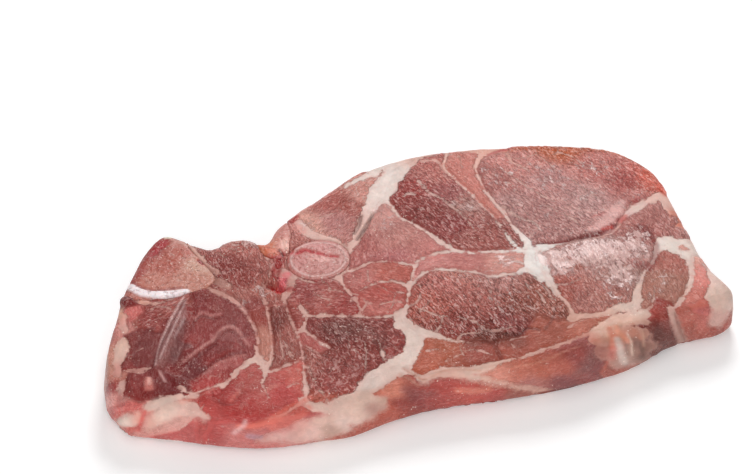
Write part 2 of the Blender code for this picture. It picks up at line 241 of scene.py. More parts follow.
# Fine threads of fat, too thin to be seams, as routes like theirs.
FAT_THREADS = {
    "island_line": "-101,-24.5,0.5 -97,-26.5,0.6 -93.5,-25.5,0.5",
    "low_line_2": "-80.5,-48,0.2 -85.5,-52.5,0.3 -92,-57,0.2",
    "eye_1": "59,51.5,1 58.5,43.5,0.6 60,40.5,0.5 63,35.5,0.4",
    "eye_2": "53.5,39.5,0.3 56,34.5,0.3 58,28.5,0.4 61.5,22.5,0.4 65.5,16.5,0.4",
    "eye_3": "60.5,44.5,0.4 65.5,44,0.4 69.5,45.5,0.3",
    "eye_4": "69,44.5,0.2 71,39,0.3 72.5,33.5,0.2",
    "eye_5": "79,48.5,0.2 77.5,44.5,0.3 74.5,42,0.3",
    "eye_6": "77.5,43.5,0.4 81.5,39,0.3 84,32,0.2",
    "eye_7": "46.5,20,0.6 48.5,15,0.8 51,10.5,0.6 54,8,0.5 55,2.5,0.3",
    "eye_8": "61.5,16,0.3 65,10,0.4 68,5,0.4 69,0,0.3",
    "eye_9": "76,28,0.2 78.5,20,0.3 82,13,0.3",
    "tall_1": "21.5,42.5,0.6 23,35,0.7 26,30,0.8 28,25,0.7 30,20.5,0.6 31.5,15.5,0.4 32.5,10,0.3",
    "tall_2": "31.5,29.5,0.3 34.5,26.5,0.3 37,24,0.3",
    "tall_3": "27,53.5,0.8 31.5,52.5,0.7 32.5,49,0.6 33,44.5,0.6",
    "tall_4": "13.5,35.5,0.5 16,36.5,0.8 17.5,35,0.5",
    "tall_5": "16,26.5,0.3 18,25.5,0.3",
    "tall_6": "41,53,0.2 40,47.5,0.3 39,43.5,0.2",
    "lobes_1": "-11,0,0.2 -12.5,-6.5,0.2",
    "lobes_2": "-8.5,-11,0.3 -7,-13.5,0.4 -5,-14.5,0.4 -2.5,-15.5,0.5",
    "lobes_3": "-5.5,-15,0.2 -7.5,-19,0.2 -9,-21.5,0.2",
    "lobes_4": "-21.5,-14.5,0.6 -19.5,-13,1 -19.5,-16,0.5 -19.5,-19.5,0.4",
    "lobes_5": "-16.5,-14.5,0.4 -16,-17,0.8 -14,-17.5,0.5",
    "lobes_6": "-16.5,-17,0.3 -18.5,-19.5,0.5 -20.5,-21.5,0.8",
    "lobes_7": "-13,-19,0.2 -9,-18.5,0.3 -5,-19.5,0.4",
    "lobes_8": "-21,-6.5,0.4 -19.5,-10,0.3 -17.5,-12,0.3",
    "collar_1": "-32,-5,0.2 -30.5,-8.5,0.4 -28,-11,0.4",
    "collar_2": "-28,1.5,0.2 -26.5,-2,0.3 -26,-6,0.2",
    "collar_3": "-27,-6.5,0.3 -24.5,-7,0.3 -22.5,-9,0.2",
    "strips_1": "-46.5,-15,0.2 -48.5,-22,0.2 -49.5,-28.5,0.3 -50.5,-34,0.4",
    "strips_2": "-48,-26.5,0.2 -48,-31.5,0.5 -47.5,-35,0.6",
    "strips_3": "-46.5,-7.5,0.4 -46,-9.5,0.4",
    "sal": "-42,-30,0.2 -40.5,-33,0.3 -38,-37,0.2",
    "fan_1": "-26.5,-26.5,0.1 -27.5,-32.5,0.1 -29,-38,0.1",
    "fan_2": "-22.5,-34,0.1 -23.5,-40,0.2 -25,-44.5,0.3",
    "fan_3": "-27.5,-36.5,0.2 -26,-39,0.2 -24.5,-43,0.2",
    "fan_4": "-19,-30,0.1 -18,-36,0.2 -18,-40.5,0.2",
    "oval_1": "3.5,-12.5,0.3 4,-14.5,0.3",
    "oval_2": "3,-17,0.3 1.5,-20,0.3 0,-21.5,0.4 -2.5,-22,0.5",
    "oval_3": "0,-26,0.5 3,-23.5,0.3 5,-21.5,0.2",
    "oval_4": "0,-24.5,0.5 2.5,-26.5,0.4 4.5,-29,0.3 8,-30.5,0.4",
    "oval_5": "6.5,-30.5,0.3 4.5,-34,0.4 2.5,-36,0.6",
    "oval_6": "11.5,-31.5,0.3 13.5,-33,0.4 16,-35,0.4 17.5,-38,0.5 19,-40.5,0.5 23,-42,0.5 "
        "27.5,-42,0.4",
    "oval_7": "8,-42,0.5 10,-40.5,0.4 13,-40.5,0.4 16.5,-41,0.3",
    "oval_8": "27.5,-17,0.2 27,-22,0.2 25.5,-26,0.2 26.5,-30,0.2 27,-34,0.2",
    "oval_9": "40,-21.5,0.2 40,-25.5,0.3",
    "oval_10": "42,-27,0.4 42.5,-30.5,0.4 42.5,-34,0.3",
    "oval_11": "45,-24,0.2 46,-28,0.4 45.5,-32.5,0.3",
    "strap_1": "33,-8.5,0.3 37,-9.5,0.3 40.5,-10,0.4 42.5,-11.5,0.6",
    "strap_2": "7.5,-4,0.2 7,-8,0.2",
    "wet_1": "49.5,-25.5,0.7 52.5,-26.5,0.6 56.5,-26.5,0.5 59,-25,0.3",
    "grey_1": "78,-44,0.3 80.5,-40,0.3 82,-36,0.2",
    "grey_2": "72.5,-46,0.6 75,-46.5,0.5 77.5,-45.5,0.4",
    "rim_1": "-3.5,-44.5,0.6 -0.5,-44.5,0.5",
    "rim_2": "7.5,-46.5,0.2 7.5,-50,0.2",
    "rim_3": "8.5,-48,0.2 12,-48.5,0.3 14.5,-50.5,0.4 16.5,-52.5,0.3",
    "rim_4": "24.5,-49.5,0.2 25,-51.5,0.5 26.5,-51.5,0.4",
    "rim_5": "47,-44.5,0.2 51,-44,0.3 55.5,-44.5,0.3 59.5,-45,0.3",
    "rim_6": "45.5,-47.5,0.5 46.5,-47,0.7 48.5,-46,0.4 52,-45.5,0.3",
    "rim_7": "0.5,-51,0.3 3,-50.5,0.3 5.5,-49.5,0.3 7.5,-49,0.2",
    "rim_8": "7.5,-42.5,0.6 11,-44.5,0.4 13.5,-46.5,0.3",
    "rim_9": "21,-47.5,0.3 25.5,-47.5,0.4 31,-47.5,0.2",
    "brown_1": "-57,29.5,0.2 -54.5,26.5,0.4 -52,23.5,0.2",
    "brown_2": "-53.5,30.5,0.3 -52,27,0.4 -51,24.5,0.2",
    "brown_3": "-58.5,25,0.2 -57,21.5,0.3",
    "corner_2": "-60.5,-44,0.4 -60,-48,0.3 -59.5,-52,0.2 -59.5,-56,0.2",
    "corner_3": "-53.5,-48,0.2 -51,-47,0.4 -49,-46.5,0.2",
    "corner_4": "-82.5,-50.5,0.2 -86,-52,0.2",
    "skin_1": "-89,1.5,0.3 -86,3.5,0.4 -82.5,2.5,0.4 -80,-1,0.3",
    "skin_2": "-99.5,-18,0.2 -98,-20.5,0.2",
    "skin_3": "-96.5,-17,0.2 -94,-16.5,0.2",
    "skin_4": "-100.5,-24.5,0.7 -97.5,-25.5,0.6 -94.5,-25.5,0.6",
    "top_1": "-20,32.5,0.3 -16,33.5,0.3 -12,34,0.3",
}

# Each muscle: its colours by place, which it also grows from, its grain (an angle in degrees, or the hub
# of a fan), how coarse its surface is, and how much fine pale marbling lies in it.
MUSCLES = {
    "eye": (
        "68,29,#b98682 49,35,#ae7570 57,11,#ad7d79 82,3,#c2918c 95,21,#aa6965 60,41,#bf837d "
        "89,32,#ba7b75 78,14,#b88c88 61,1,#ab7c78 49,19,#b08480 94,9,#b47b76 79,46,#b76e58 "
        "105,19,#ca7368",
        -72,
        0.9,
        0.5,
    ),
    "tall": (
        "20,25,#8f5550 27,16,#905351 29,45,#b57771 33,23,#a87872 33,7,#a06863 19,38,#9c5852 "
        "28,32,#a06866",
        -68,
        1.0,
        0.4,
    ),
    "tall_cap": (
        "39,47,#be7c74 31,53,#c58a80",
        -70,
        0.5,
        0.3,
    ),
    "fan_top": (
        "7,14,#b07a74 2,13,#b27b75 2,28,#c58e87 -8,13,#a86c68 10,6,#b67a75 1,5,#ad7270",
        (-2, 40),
        0.45,
        0.6,
    ),
    "neck_top": (
        "-8,37,#9e625c -14,42,#ac6c66 -14,30,#b27c78 -25,30,#d09a8e 0,41,#c0877e",
        30,
        0.6,
        0.9,
    ),
    "lobes": (
        "-14,-3,#b0716c -4,-3,#b06b63 -10,-14,#a9615b -11,-21,#b2706a",
        -35,
        0.5,
        0.5,
    ),
    "strap": (
        "25,-5,#b67974 11,-2,#c0817c 36,-9,#c88f86",
        -9,
        0.3,
        0.6,
    ),
    "oval": (
        "11,-14,#b3736d 21,-26,#a76c66 34,-32,#93625b 11,-36,#945d54 19,-43,#874f44 18,-9,#b57c74 "
        "43,-32,#a16b62 4,-23,#ad6a62 27,-39,#905a55 31,-18,#b17d77",
        -76,
        1.3,
        0.35,
    ),
    "wet": (
        "70,-16,#c59690 58,-34,#ab7770 51,-29,#a7675f 88,-10,#a8716c 59,-10,#b98a84 53,-11,#c89a94 "
        "83,-17,#b98a84 66,-39,#ab766e 74,-28,#b38780",
        -84,
        0.8,
        0.6,
    ),
    "grey_oval": (
        "86,-35,#a6776d 92,-26,#ac7169 80,-40,#a7766c",
        -94,
        0.5,
        0.3,
    ),
    "front_strip": (
        "-5,-48,#ad695c 13,-48,#9a5f53 38,-49,#9f6458 53,-47,#b07266 26,-49,#a3645a 3,-44,#a8695b",
        -3,
        0.25,
        0.8,
    ),
    "end_strip": (
        "99,-36,#cf867e 92,-47,#bb776e 100,-25,#d59d92 93,-53,#b06b68",
        -70,
        0.3,
        0.8,
    ),
    "collar": (
        "-35,-5,#985d5a -23,-15,#9d5651 -41,-9,#9c605b -29,-10,#a56762",
        -20,
        0.55,
        0.6,
    ),
    "fan": (
        "-29,-29,#7f4742 -15,-33,#8b504a -39,-51,#935852 -35,-44,#8b514a -37,-19,#915853 "
        "-25,-38,#884d46 -11,-38,#945650 -42,-57,#a8675e -44,-37,#9c6660",
        (-38, 2),
        0.8,
        0.45,
    ),
    "salmon": (
        "-39,-29,#aa6864",
        -80,
        0.3,
        0.5,
    ),
    "brown": (
        "-53,7,#92574f -48,27,#ac6c65 -54,-5,#905853 -58,17,#8f534d -49,1,#ae736b -57,-2,#a56f68 "
        "-49,32,#c18c86",
        -87,
        0.75,
        0.7,
    ),
    "stem": (
        "-55,-23,#b77f74 -52,-11,#98594f",
        -92,
        0.3,
        0.8,
    ),
    "strips": (
        "-49,-17,#824a42 -44,-22,#a06862",
        -90,
        0.6,
        0.8,
    ),
    "deep": (
        "-68,-19,#8a4948 -70,-3,#883f3d -81,-28,#7f3333 -61,-16,#8a504e -70,-34,#954a47 -60,-27,#925654 "
        "-60,-6,#874a48 -73,-15,#95504d -75,-40,#a8524f -77,-6,#8b4744",
        -103,
        0.27,
        0.7,
    ),
    "low_left": (
        "-81,-43,#a54844 -71,-46,#a04a47 -54,-49,#ae5956 -84,-58,#ac5f5b -61,-44,#ab6460 "
        "-48,-46,#bc6d66 -70,-55,#ab4d49 -80,-53,#b5605d -89,-52,#cf9990",
        -30,
        0.2,
        0.7,
    ),
    "granular": (
        "-89,-2,#92504b -81,2,#a06560 -98,0,#b8746a -95,10,#873433",
        18,
        0.6,
        1.0,
    ),
    "wall_lens": (
        "16,-62,#c48477 22,-63,#b16f63 29,-64,#ac695d 36,-64,#a6655b 43,-61,#955850 34,-71,#8b5a59 "
        "46,-66,#845252 51,-62,#996663 24,-69,#a7716b",
        20,
        0.15,
        0.2,
    ),
    "lower_lens": (
        "-5,-61,#a2564c 3,-65,#af5f54 10,-68,#a85c53 -9,-64,#a1574f -14,-64,#884442 -20,-65,#944d43 "
        "-24,-66,#af665a -20,-60,#c27e6f 19,-72,#9a655e",
        -15,
        0.15,
        0.3,
    ),
    "wall_red": (
        "53,-68,#a3675f 56,-64,#b48476 52,-71,#9d635a",
        -60,
        0.15,
        0.4,
    ),
    "wall_dark": (
        "76,-56,#7e4840 79,-52,#94544a 73,-60,#75453c 76,-50,#a05c51",
        -60,
        0.2,
        0.1,
    ),
    "end_wall": (
        "93,-51,#b56f65 92,-57,#9c615a 86,-60,#a16359 87,-54,#b26e65",
        -70,
        0.2,
        0.5,
    ),
    "low_wall": (
        "-80,-61,#ad5d59 -74,-64,#b8736f -87,-57,#b46764",
        -30,
        0.2,
        0.3,
    ),
    "left_wall": (
        "-104,-4,#9a5f59 -99,-5,#c1837c -104,-15,#b98478 -107,-20,#b88579 -106,-26,#b87d72 "
        "-107,-31,#a05c58 -107,-37,#cc8f88 -106,-43,#b96661 -95,3,#bb6d69 -99,9,#8b4c48",
        -90,
        0.3,
        0.6,
    ),
    "smooth": (
        "-93,-14,#803836 -100,-32,#8d3532 -93,-24,#804443 -97,-22,#8a3a36 -91,-35,#7a2f2f "
        "-86,-19,#7b4a49",
        -105,
        0.12,
        0.3,
    ),
}

# Fat colours by place. The grey-brown ones down the right wall round 64,-65 hold painted shade.
FAT_TINTS = (
    "47,-10,#e8d6d0 13,47,#e4cdc5 -10,-42,#dcc0b6 -26,-54,#dcc0b7 96,-18,#e6d0c7 100,-50,#dab6a9 "
    "7,-58,#d9b3a6 -57,-60,#d3a29b -61,8,#ab7a71 -44,-62,#dab3a8 103,-5,#d3806f 103,-36,#e2bfb5 "
    "55,56,#d9a294 -20,20,#dcb0a6 -63,-34,#dcb8ac -50,-35,#cfa298 -38,-18,#d3a79d 30,-16,#e0c3ba "
    "45,25,#d4ada4 -63,33,#d4a599 -43,30,#d9a39c 70,-44,#dcbcb0 -67,-62,#d09a90 -80,-50,#d9a89d "
    "85,0,#dba79b 30,56,#d8ab9f -76,0,#b58a84 -29,-64,#af837b -25,-61,#c29a8c 1,-58,#d8ab9e "
    "13,-65,#d6aa9c 83,-53,#c79f95 82,-60,#b38f86 102,-51,#dab9ad 96,-58,#c99e95 -105,-47,#eacbc0 "
    "-102,-47,#e39b8e -93,-47,#e6c0b3 -85,-49,#e3b6ab -83,-52,#e0b2a8 -57,-8,#c8928a -62,4,#bd8a80 "
    "-58,-24,#c9948b -65,-34,#d0a197 -50,-12,#b98379 -43,-18,#bd8a82 -44,-34,#c3938c -105,-32,#d1a39a "
    "-107,-38,#bc6b68 51,-56,#be7d70 53,-58,#c38e7f 53,-63,#bd8377 58,-63,#c2958c 59,-67,#bd9a90 "
    "62,-65,#ab897e 65,-63,#936d65 63,-68,#8f6b64 59,-72,#b6928a 64,-57,#bf8679 70,-57,#b6867a "
    "59,-57,#c08b7a 57,-52,#dbaf9e 66,-50,#e0b2a1 -53,-66,#dba39a -50,-70,#dbb2a9 -45,-65,#dcb2a6 "
    "-45,-71,#c39d91 -39,-68,#debbb1 -36,-65,#e8bfb1 -31,-62,#e3bdaf -28,-61,#deb8aa -62,-66,#dfaea7 "
    "-67,-69,#d7a9a1 -99,4,#dea591 -97,0,#e9a59b -99,-5,#d49e94 -102,-9,#d7ad9e -102,-15,#e2b8ab "
    "-104,-23,#ce9288 90,1,#d4aca8 94,4,#dec0b6 97,5.5,#deb5ac 101,7.5,#e2b4a8"
)

# Marks over the flesh, with painted shade in creases and hollows and painted highlights among them: route,
# colour, strength, softness in millimetres.
STAINS = {
    "rim_salmon": (
        "59,51.5,1.5 68.5,51,2.5 79.5,47.5,2.5 90,44,2.5 99,39,2.5 106,30,2 107.5,20,2",
        "#b2613f", 0.85, 1.6,
    ),
    "rim_orange": ("107,27,1.6 107.5,18,2 107,11,1.6", "#cb6a55", 0.8, 1.6),
    "neck_split_1": ("-4,30.5,0.35 -6.5,25.5,0.5 -9.5,21.5,0.35", "#4f2a24", 0.9, 0.4),
    "neck_split_2": ("0,30,0.3 -4.5,24,0.55 -9.5,18,0.35", "#4f2a24", 0.9, 0.4),
    # Painted shadow: a dark line under the eye muscle's overhanging lower edge.
    "eye_edge_shadow": (
        "53,-3,0.3 58,-4.7,0.5 64.5,-5.5,0.8 70.5,-5.2,0.9 74,-5,0.8 80,-2.5,0.7 83,-1,0.4",
        "#7d2628", 0.8, 0.6,
    ),
    "drop_1": ("79,4,0.9 81,5,0.7", "#a34448", 0.8, 0.5),
    "drop_2": ("84,0.5,0.9 86.5,1.5,1", "#96383b", 0.8, 0.6),
    "drop_3": ("77,-3,0.8 80,-1.5,0.8", "#8f3a3a", 0.7, 0.8),
    "drop_4": ("93,8,0.9 95.5,9.5,0.8", "#9b4444", 0.7, 0.6),
    "milky": ("72,-2.5,0.8 76,-1,1.6 80,2,2.1 85,5.5,2.1 89,9.5,1.3", "#d1a19c", 0.85, 0.8),
    "top_blood": ("52,50.5,0.6 56,51.5,0.8 60,52,0.7 66,54,0.4", "#a82a30", 0.85, 0.6),
    "wet_rim": ("91,-12,0.6 91.5,-16,0.9 88,-23,0.9 84,-28,0.5", "#8a3c3a", 0.65, 0.9),
    "wet_patch_1": ("90,-6,1.8 91.5,-10,1.5", "#8c4644", 0.75, 1.6),
    "wet_patch_2": ("80,-24,1.6 84,-26,1.4", "#97504b", 0.6, 1.6),
    "wet_spot": ("59.5,-20,1.3 61,-20.5,1.2", "#9c5f50", 0.75, 0.8),
    "wet_left_dark": ("53,-27,2 56,-33,2.4", "#9c5f57", 0.5, 2.0),
    "wet_low_dark": ("62,-31,2 70,-33,2", "#a36d65", 0.4, 2.0),
    # Painted sheen: a pale patch on the tall muscle.
    "cap_pale": ("32,23,1.5 37,22,1.5", "#c49c96", 0.5, 1.5),
    "vein_blob": ("-96.5,11,3.6 -94,9.5,3", "#7f2425", 0.95, 1.2),
    "hole_smear": ("-41.5,0,1.2 -38.5,-1.5,0.8", "#a2393a", 0.8, 0.9),
    "chip_blood": ("-38.5,15.5,1.3 -41,11,1.6 -42,8,1.3", "#9a2a2c", 0.85, 1.0),
    "tip_blood": ("-30,34,0.8 -28,35.5,1.1 -26.5,36.5,0.6", "#a43336", 0.85, 0.7),
    "chip_pink": ("-29,31.5,1.5 -27.5,28.5,1.7", "#cf8f88", 0.8, 1.0),
    "fan_dark": ("-33,-24,2.5 -22,-30,3 -17,-37,2", "#74403a", 0.4, 3.0),
    "island_1": ("-89.5,-7.5,1.1 -92.5,-12.5,2.8 -95.5,-19,2.8 -97,-22.5,1.4", "#7d3231", 0.8, 1.0),
    "island_2": ("-100,-27,1.6 -100.5,-32,2.6 -100.5,-36.5,1.6", "#87312f", 0.85, 1.0),
    "knob_top": ("-108,-41.5,1.1 -104,-40.5,1.3 -101,-42,0.9", "#c66f68", 0.8, 1.0),
    "knob_line": ("-99.5,-45,0.4 -101,-48.5,0.5 -103,-52.5,0.4", "#c8605a", 0.85, 0.8),
    "orange": ("-72,-60.5,0.8 -66,-61.5,1.2 -60,-60.5,1.5 -52,-56.5,1.4 -47,-54,0.9", "#cc7261", 0.75, 1.1),
    "orange_lobe": ("-62,-64,1.1 -55,-62.5,1.6 -49,-59,1.2", "#c9705f", 0.55, 1.2),
    "corner_grey": ("-70,-65,0.8 -67,-67,1", "#b08a90", 0.7, 0.8),
    "salmon_fall": ("59,-51.5,0.7 58.5,-57,1 55.5,-61.5,0.7", "#c27863", 0.7, 1.2),
    "lens_low_dark": ("40.5,-69,1.5 47,-65,2.6 52,-61.5,1.9", "#87504a", 0.6, 2.5),
    "lower_lens_shine": ("0,-64.5,0.8 5,-66,1.1 10,-67,0.7", "#cd8576", 0.6, 1.2),
    "oval_foot": (
        "16.5,-39,0.3 20,-42,0.5 24,-44,0.7 28,-46,0.5 32,-43.5,0.4 36,-45.5,0.3",
        "#6b3530", 0.7, 0.7,
    ),
    "oval_foot_2": ("38,-46,0.3 42,-42,0.3 45.5,-36,0.2", "#7a4640", 0.6, 0.7),
    "strip_dark": ("11.5,-45,1.4 17,-44,2.4 22.5,-46.5,3 27.5,-49.5,2", "#7d4338", 0.6, 2.5),
    # Painted shade in the crease down the pale band.
    "band_crease": ("83,-52,0.15 81.5,-60,0.25 80.5,-66,0.15", "#7d544c", 0.7, 0.5),
    "silver": ("-76,3,0.8 -79.5,-4,1.9 -83,-11,2.6 -86.5,-18,2.6 -90,-25,1.7", "#8d5c58", 0.85, 1.2),
    # Painted shade on the flank of the raised fold of silver skin.
    "silver_fold_shade": ("-78,-7.5,0.8 -82.5,-18,1.2 -86,-25.5,0.9", "#7a4443", 0.7, 1.4),
    "silver_line_1": ("-75.5,5.5,0.15 -82.5,-5,0.2 -88.5,-16,0.15 -92,-26,0.1", "#d8b0ac", 0.9, 0.5),
    "silver_line_2": ("-75.5,2,0.05 -80,-6.5,0.2 -85.5,-16,0.15 -90,-24,0.05", "#c9a5a2", 0.8, 0.45),
    "silver_line_3": ("-76.5,-3,0.15 -79,-8.5,0.25 -83,-15,0.2", "#b99997", 0.5, 0.4),
    "silver_line_4": ("-78.5,-1,0.15 -84,-9.5,0.3 -87.5,-17,0.2", "#ad8583", 0.5, 0.4),
    # Painted highlights along the edges of the deep muscle's lobes.
    "deep_lobe_highlight_1": ("-74,-6.5,0.3 -71,-4.5,0.4 -68.5,-7,0.4 -65.5,-7,0.3", "#b57d79", 0.75, 0.8),
    "deep_lobe_highlight_2": ("-71,-19,0.2 -67,-15,0.4 -63,-14.5,0.5 -61.5,-18,0.4 -60,-24.5,0.2", "#bb8782", 0.75, 0.7),
    "deep_lobe_highlight_3": ("-82.5,-26.5,0.2 -78,-23,0.4 -73,-20,0.4 -70.5,-19,0.3", "#bb837e", 0.75, 0.6),
    "deep_lobe_highlight_4": ("-77,-33.5,0.2 -72,-30.5,0.4 -67,-29.5,0.4 -62.5,-29.5,0.3", "#b9827c", 0.75, 0.8),
    # Painted shade in the creases between the deep muscle's lobes.
    "deep_crease_1": ("-75.2,-8,0.1 -71.4,-6.2,0.3 -68.4,-8.6,0.3 -65.5,-8.6,0.1", "#74302f", 0.6, 0.9),
    "deep_crease_2": (
        "-71.5,-20.4,0.1 -66.8,-16.6,0.3 -63.8,-16.2,0.3 -62.8,-19,0.3 -61.6,-25,0.1",
        "#763433", 0.6, 0.9,
    ),
    "deep_crease_3": ("-82,-28.2,0.2 -77.2,-24.8,0.4 -72.4,-21.8,0.4 -70,-20.8,0.2", "#6f2628", 0.65, 1.0),
    "deep_crease_4": ("-77.6,-31.8,0.2 -72.4,-28.7,0.4 -67,-27.6,0.4 -62.3,-27.8,0.2", "#762e2e", 0.6, 1.0),
    "deep_pale_1": ("-67,-18,1.4 -62.5,-20.5,1.6", "#955a58", 0.6, 2.0),
    "deep_pale_2": ("-73.5,-33,1.4 -69,-31.8,1.6 -64.5,-31.5,1.2", "#a75f5b", 0.65, 1.8),
    # Dark red of its own, deepened with painted shade in the hollow here.
    "deep_dark_1": ("-79,-27.5,1.6 -82,-32,1.8 -78,-31,1.6", "#762427", 0.9, 2.0),
    "deep_dark_2": ("-70.5,2,1.4 -69.5,-3.5,1.1", "#863032", 0.6, 2.2),
    "deep_dark_3": ("-76,-12,1 -73,-15.5,1.2 -69,-11,0.9", "#8a3536", 0.55, 2.0),
    "deep_red": ("-73.5,-24.5,1.6 -67.5,-24,1.4", "#7d2e2e", 0.6, 1.8),
    "nub": ("-95.5,-31,1.1 -96,-35,1.3", "#bd7b74", 0.85, 0.8),
    # Painted highlight on the nub.
    "nub_highlight": ("-95,-31.5,0.4 -95.5,-33.5,0.4", "#dba79d", 0.8, 0.6),
    # Dark red of its own, deepened with painted shade in the pit.
    "pit": ("-88.7,-31.5,0.8 -88.7,-36,1.1 -87,-37.7,0.8", "#7c1f23", 0.9, 1.2),
    "pit_edge": ("-91,-29,0.3 -90.3,-33,0.3", "#c99b97", 0.8, 0.5),
    "low_sheen_1": ("-82.5,-44.5,0.3 -79,-43,0.3 -75,-41.5,0.3", "#c87f77", 0.6, 0.9),
    "low_sheen_2": ("-71.5,-48,0.3 -68,-45.5,0.4 -66,-43,0.3", "#c57c74", 0.6, 1.0),
    "low_sheen_3": ("-61.5,-49,0.3 -58,-46.5,0.5 -55.5,-46,0.3", "#c8847b", 0.6, 1.2),
    # Painted shade in the fold.
    "low_fold": ("-77.5,-46.5,0.2 -73,-50,0.3 -69,-47.5,0.2 -66,-42,0.2", "#8d3a37", 0.55, 0.8),
    "low_pale": ("-74,-62.5,0.4 -70.5,-60.5,0.5 -69.5,-58.5,0.2", "#d9b3b0", 0.6, 1.2),
    "tongue_grey": ("-98,-43.5,1.4 -94.5,-42.5,1.7 -91,-42.5,1.4", "#c0a79d", 0.6, 1.4),
    "tongue_pink": ("-87,-44.5,0.8 -84,-44,0.6", "#dc9f92", 0.6, 1.2),
    "hole_blood": ("-44.5,3,1.9 -43.5,-0.5,1.5", "#bf1c26", 0.98, 0.8),
    "hole_pink": ("-41,2.5,1 -40,5.5,1.4 -38,7,1", "#cf6f74", 0.85, 1.3),
    # Painted shade in the folds of the crest fat.
    "crest_fold": ("-13.5,-49.5,0.2 -11.5,-53,0.3 -10,-57,0.3 -8.5,-57.5,0.3", "#b08073", 0.75, 0.6),
    "crest_fold_2": ("-15.5,-52,0.2 -13.5,-56,0.3 -11.5,-59.5,0.2", "#b98b7d", 0.65, 0.6),
    "crest_line": ("-6.5,-57,0.2 -0.5,-55.5,0.2 4,-56.5,0.2 10,-58.8,0.2", "#bb8b7c", 0.6, 0.5),
    "lens_shade": ("-16,-60,1.4 -13,-63,1.6 -9,-63.5,1.2", "#8b4541", 0.7, 2.2),
    "lens_red": ("-4.5,-60,0.9 0.5,-60.8,1 5,-64,0.6", "#a9524b", 0.5, 1.6),
    "lens_line": ("5.5,-62.5,0.1 11,-66,0.15 19.5,-70.8,0.1", "#cf9c8e", 0.7, 0.4),
    "lens_line_2": ("20,-60,0.1 30,-60.5,0.1 41,-58.5,0.1 50,-57,0.1", "#c98f7d", 0.5, 0.4),
    "end_red": ("95,-48.5,0.9 92.5,-56,0.9 88,-61,0.9", "#c0756c", 0.5, 1.6),
    "fall_pink": ("61.5,-51.5,0.5 61.3,-56,0.8 62,-60,0.7", "#d08c78", 0.75, 1.4),
    "fall_white": ("59,-58,0.7 58,-63.5,0.8 57,-69,1", "#c6aea6", 0.8, 1.3),
    "fall_pink_low": ("56,-62,0.8 54,-66,0.8", "#b36a60", 0.6, 1.4),
    "fall_rose": ("67,-52.5,0.4 66.3,-56.5,0.6 66.5,-60.5,0.5", "#b98172", 0.7, 1.2),
    # Painted shade: a grey-brown shaded patch down the wall.
    "fall_shade_grey": ("65,-60.5,0.8 65,-65.5,1 63.5,-69,0.8", "#7d5c52", 0.75, 1.4),
    "fall_line": ("63.5,-56,0.1 63,-61,0.15 61,-67,0.1", "#d2b3a6", 0.7, 0.5),
    "fall_line_2": ("69,-56,0.1 68,-60,0.15 66.5,-64,0.1", "#ba9484", 0.6, 0.6),
    # Painted shade along the crease down the pale band.
    "band_line": ("84,-50,0.1 81.8,-56,0.15 80.6,-61.5,0.15 81,-65.5,0.1", "#97665a", 0.75, 0.5),
    "milky_drop": ("76,-3.2,0.4 80,-2.6,0.6", "#b9514a", 0.8, 0.6),
    "milky_drop_2": ("84.5,-0.5,0.5 87.5,2.2,0.6", "#b5504a", 0.8, 0.6),
    "milky_drop_3": ("75,4,0.3 78,4.8,0.3", "#b25c56", 0.6, 0.5),
}

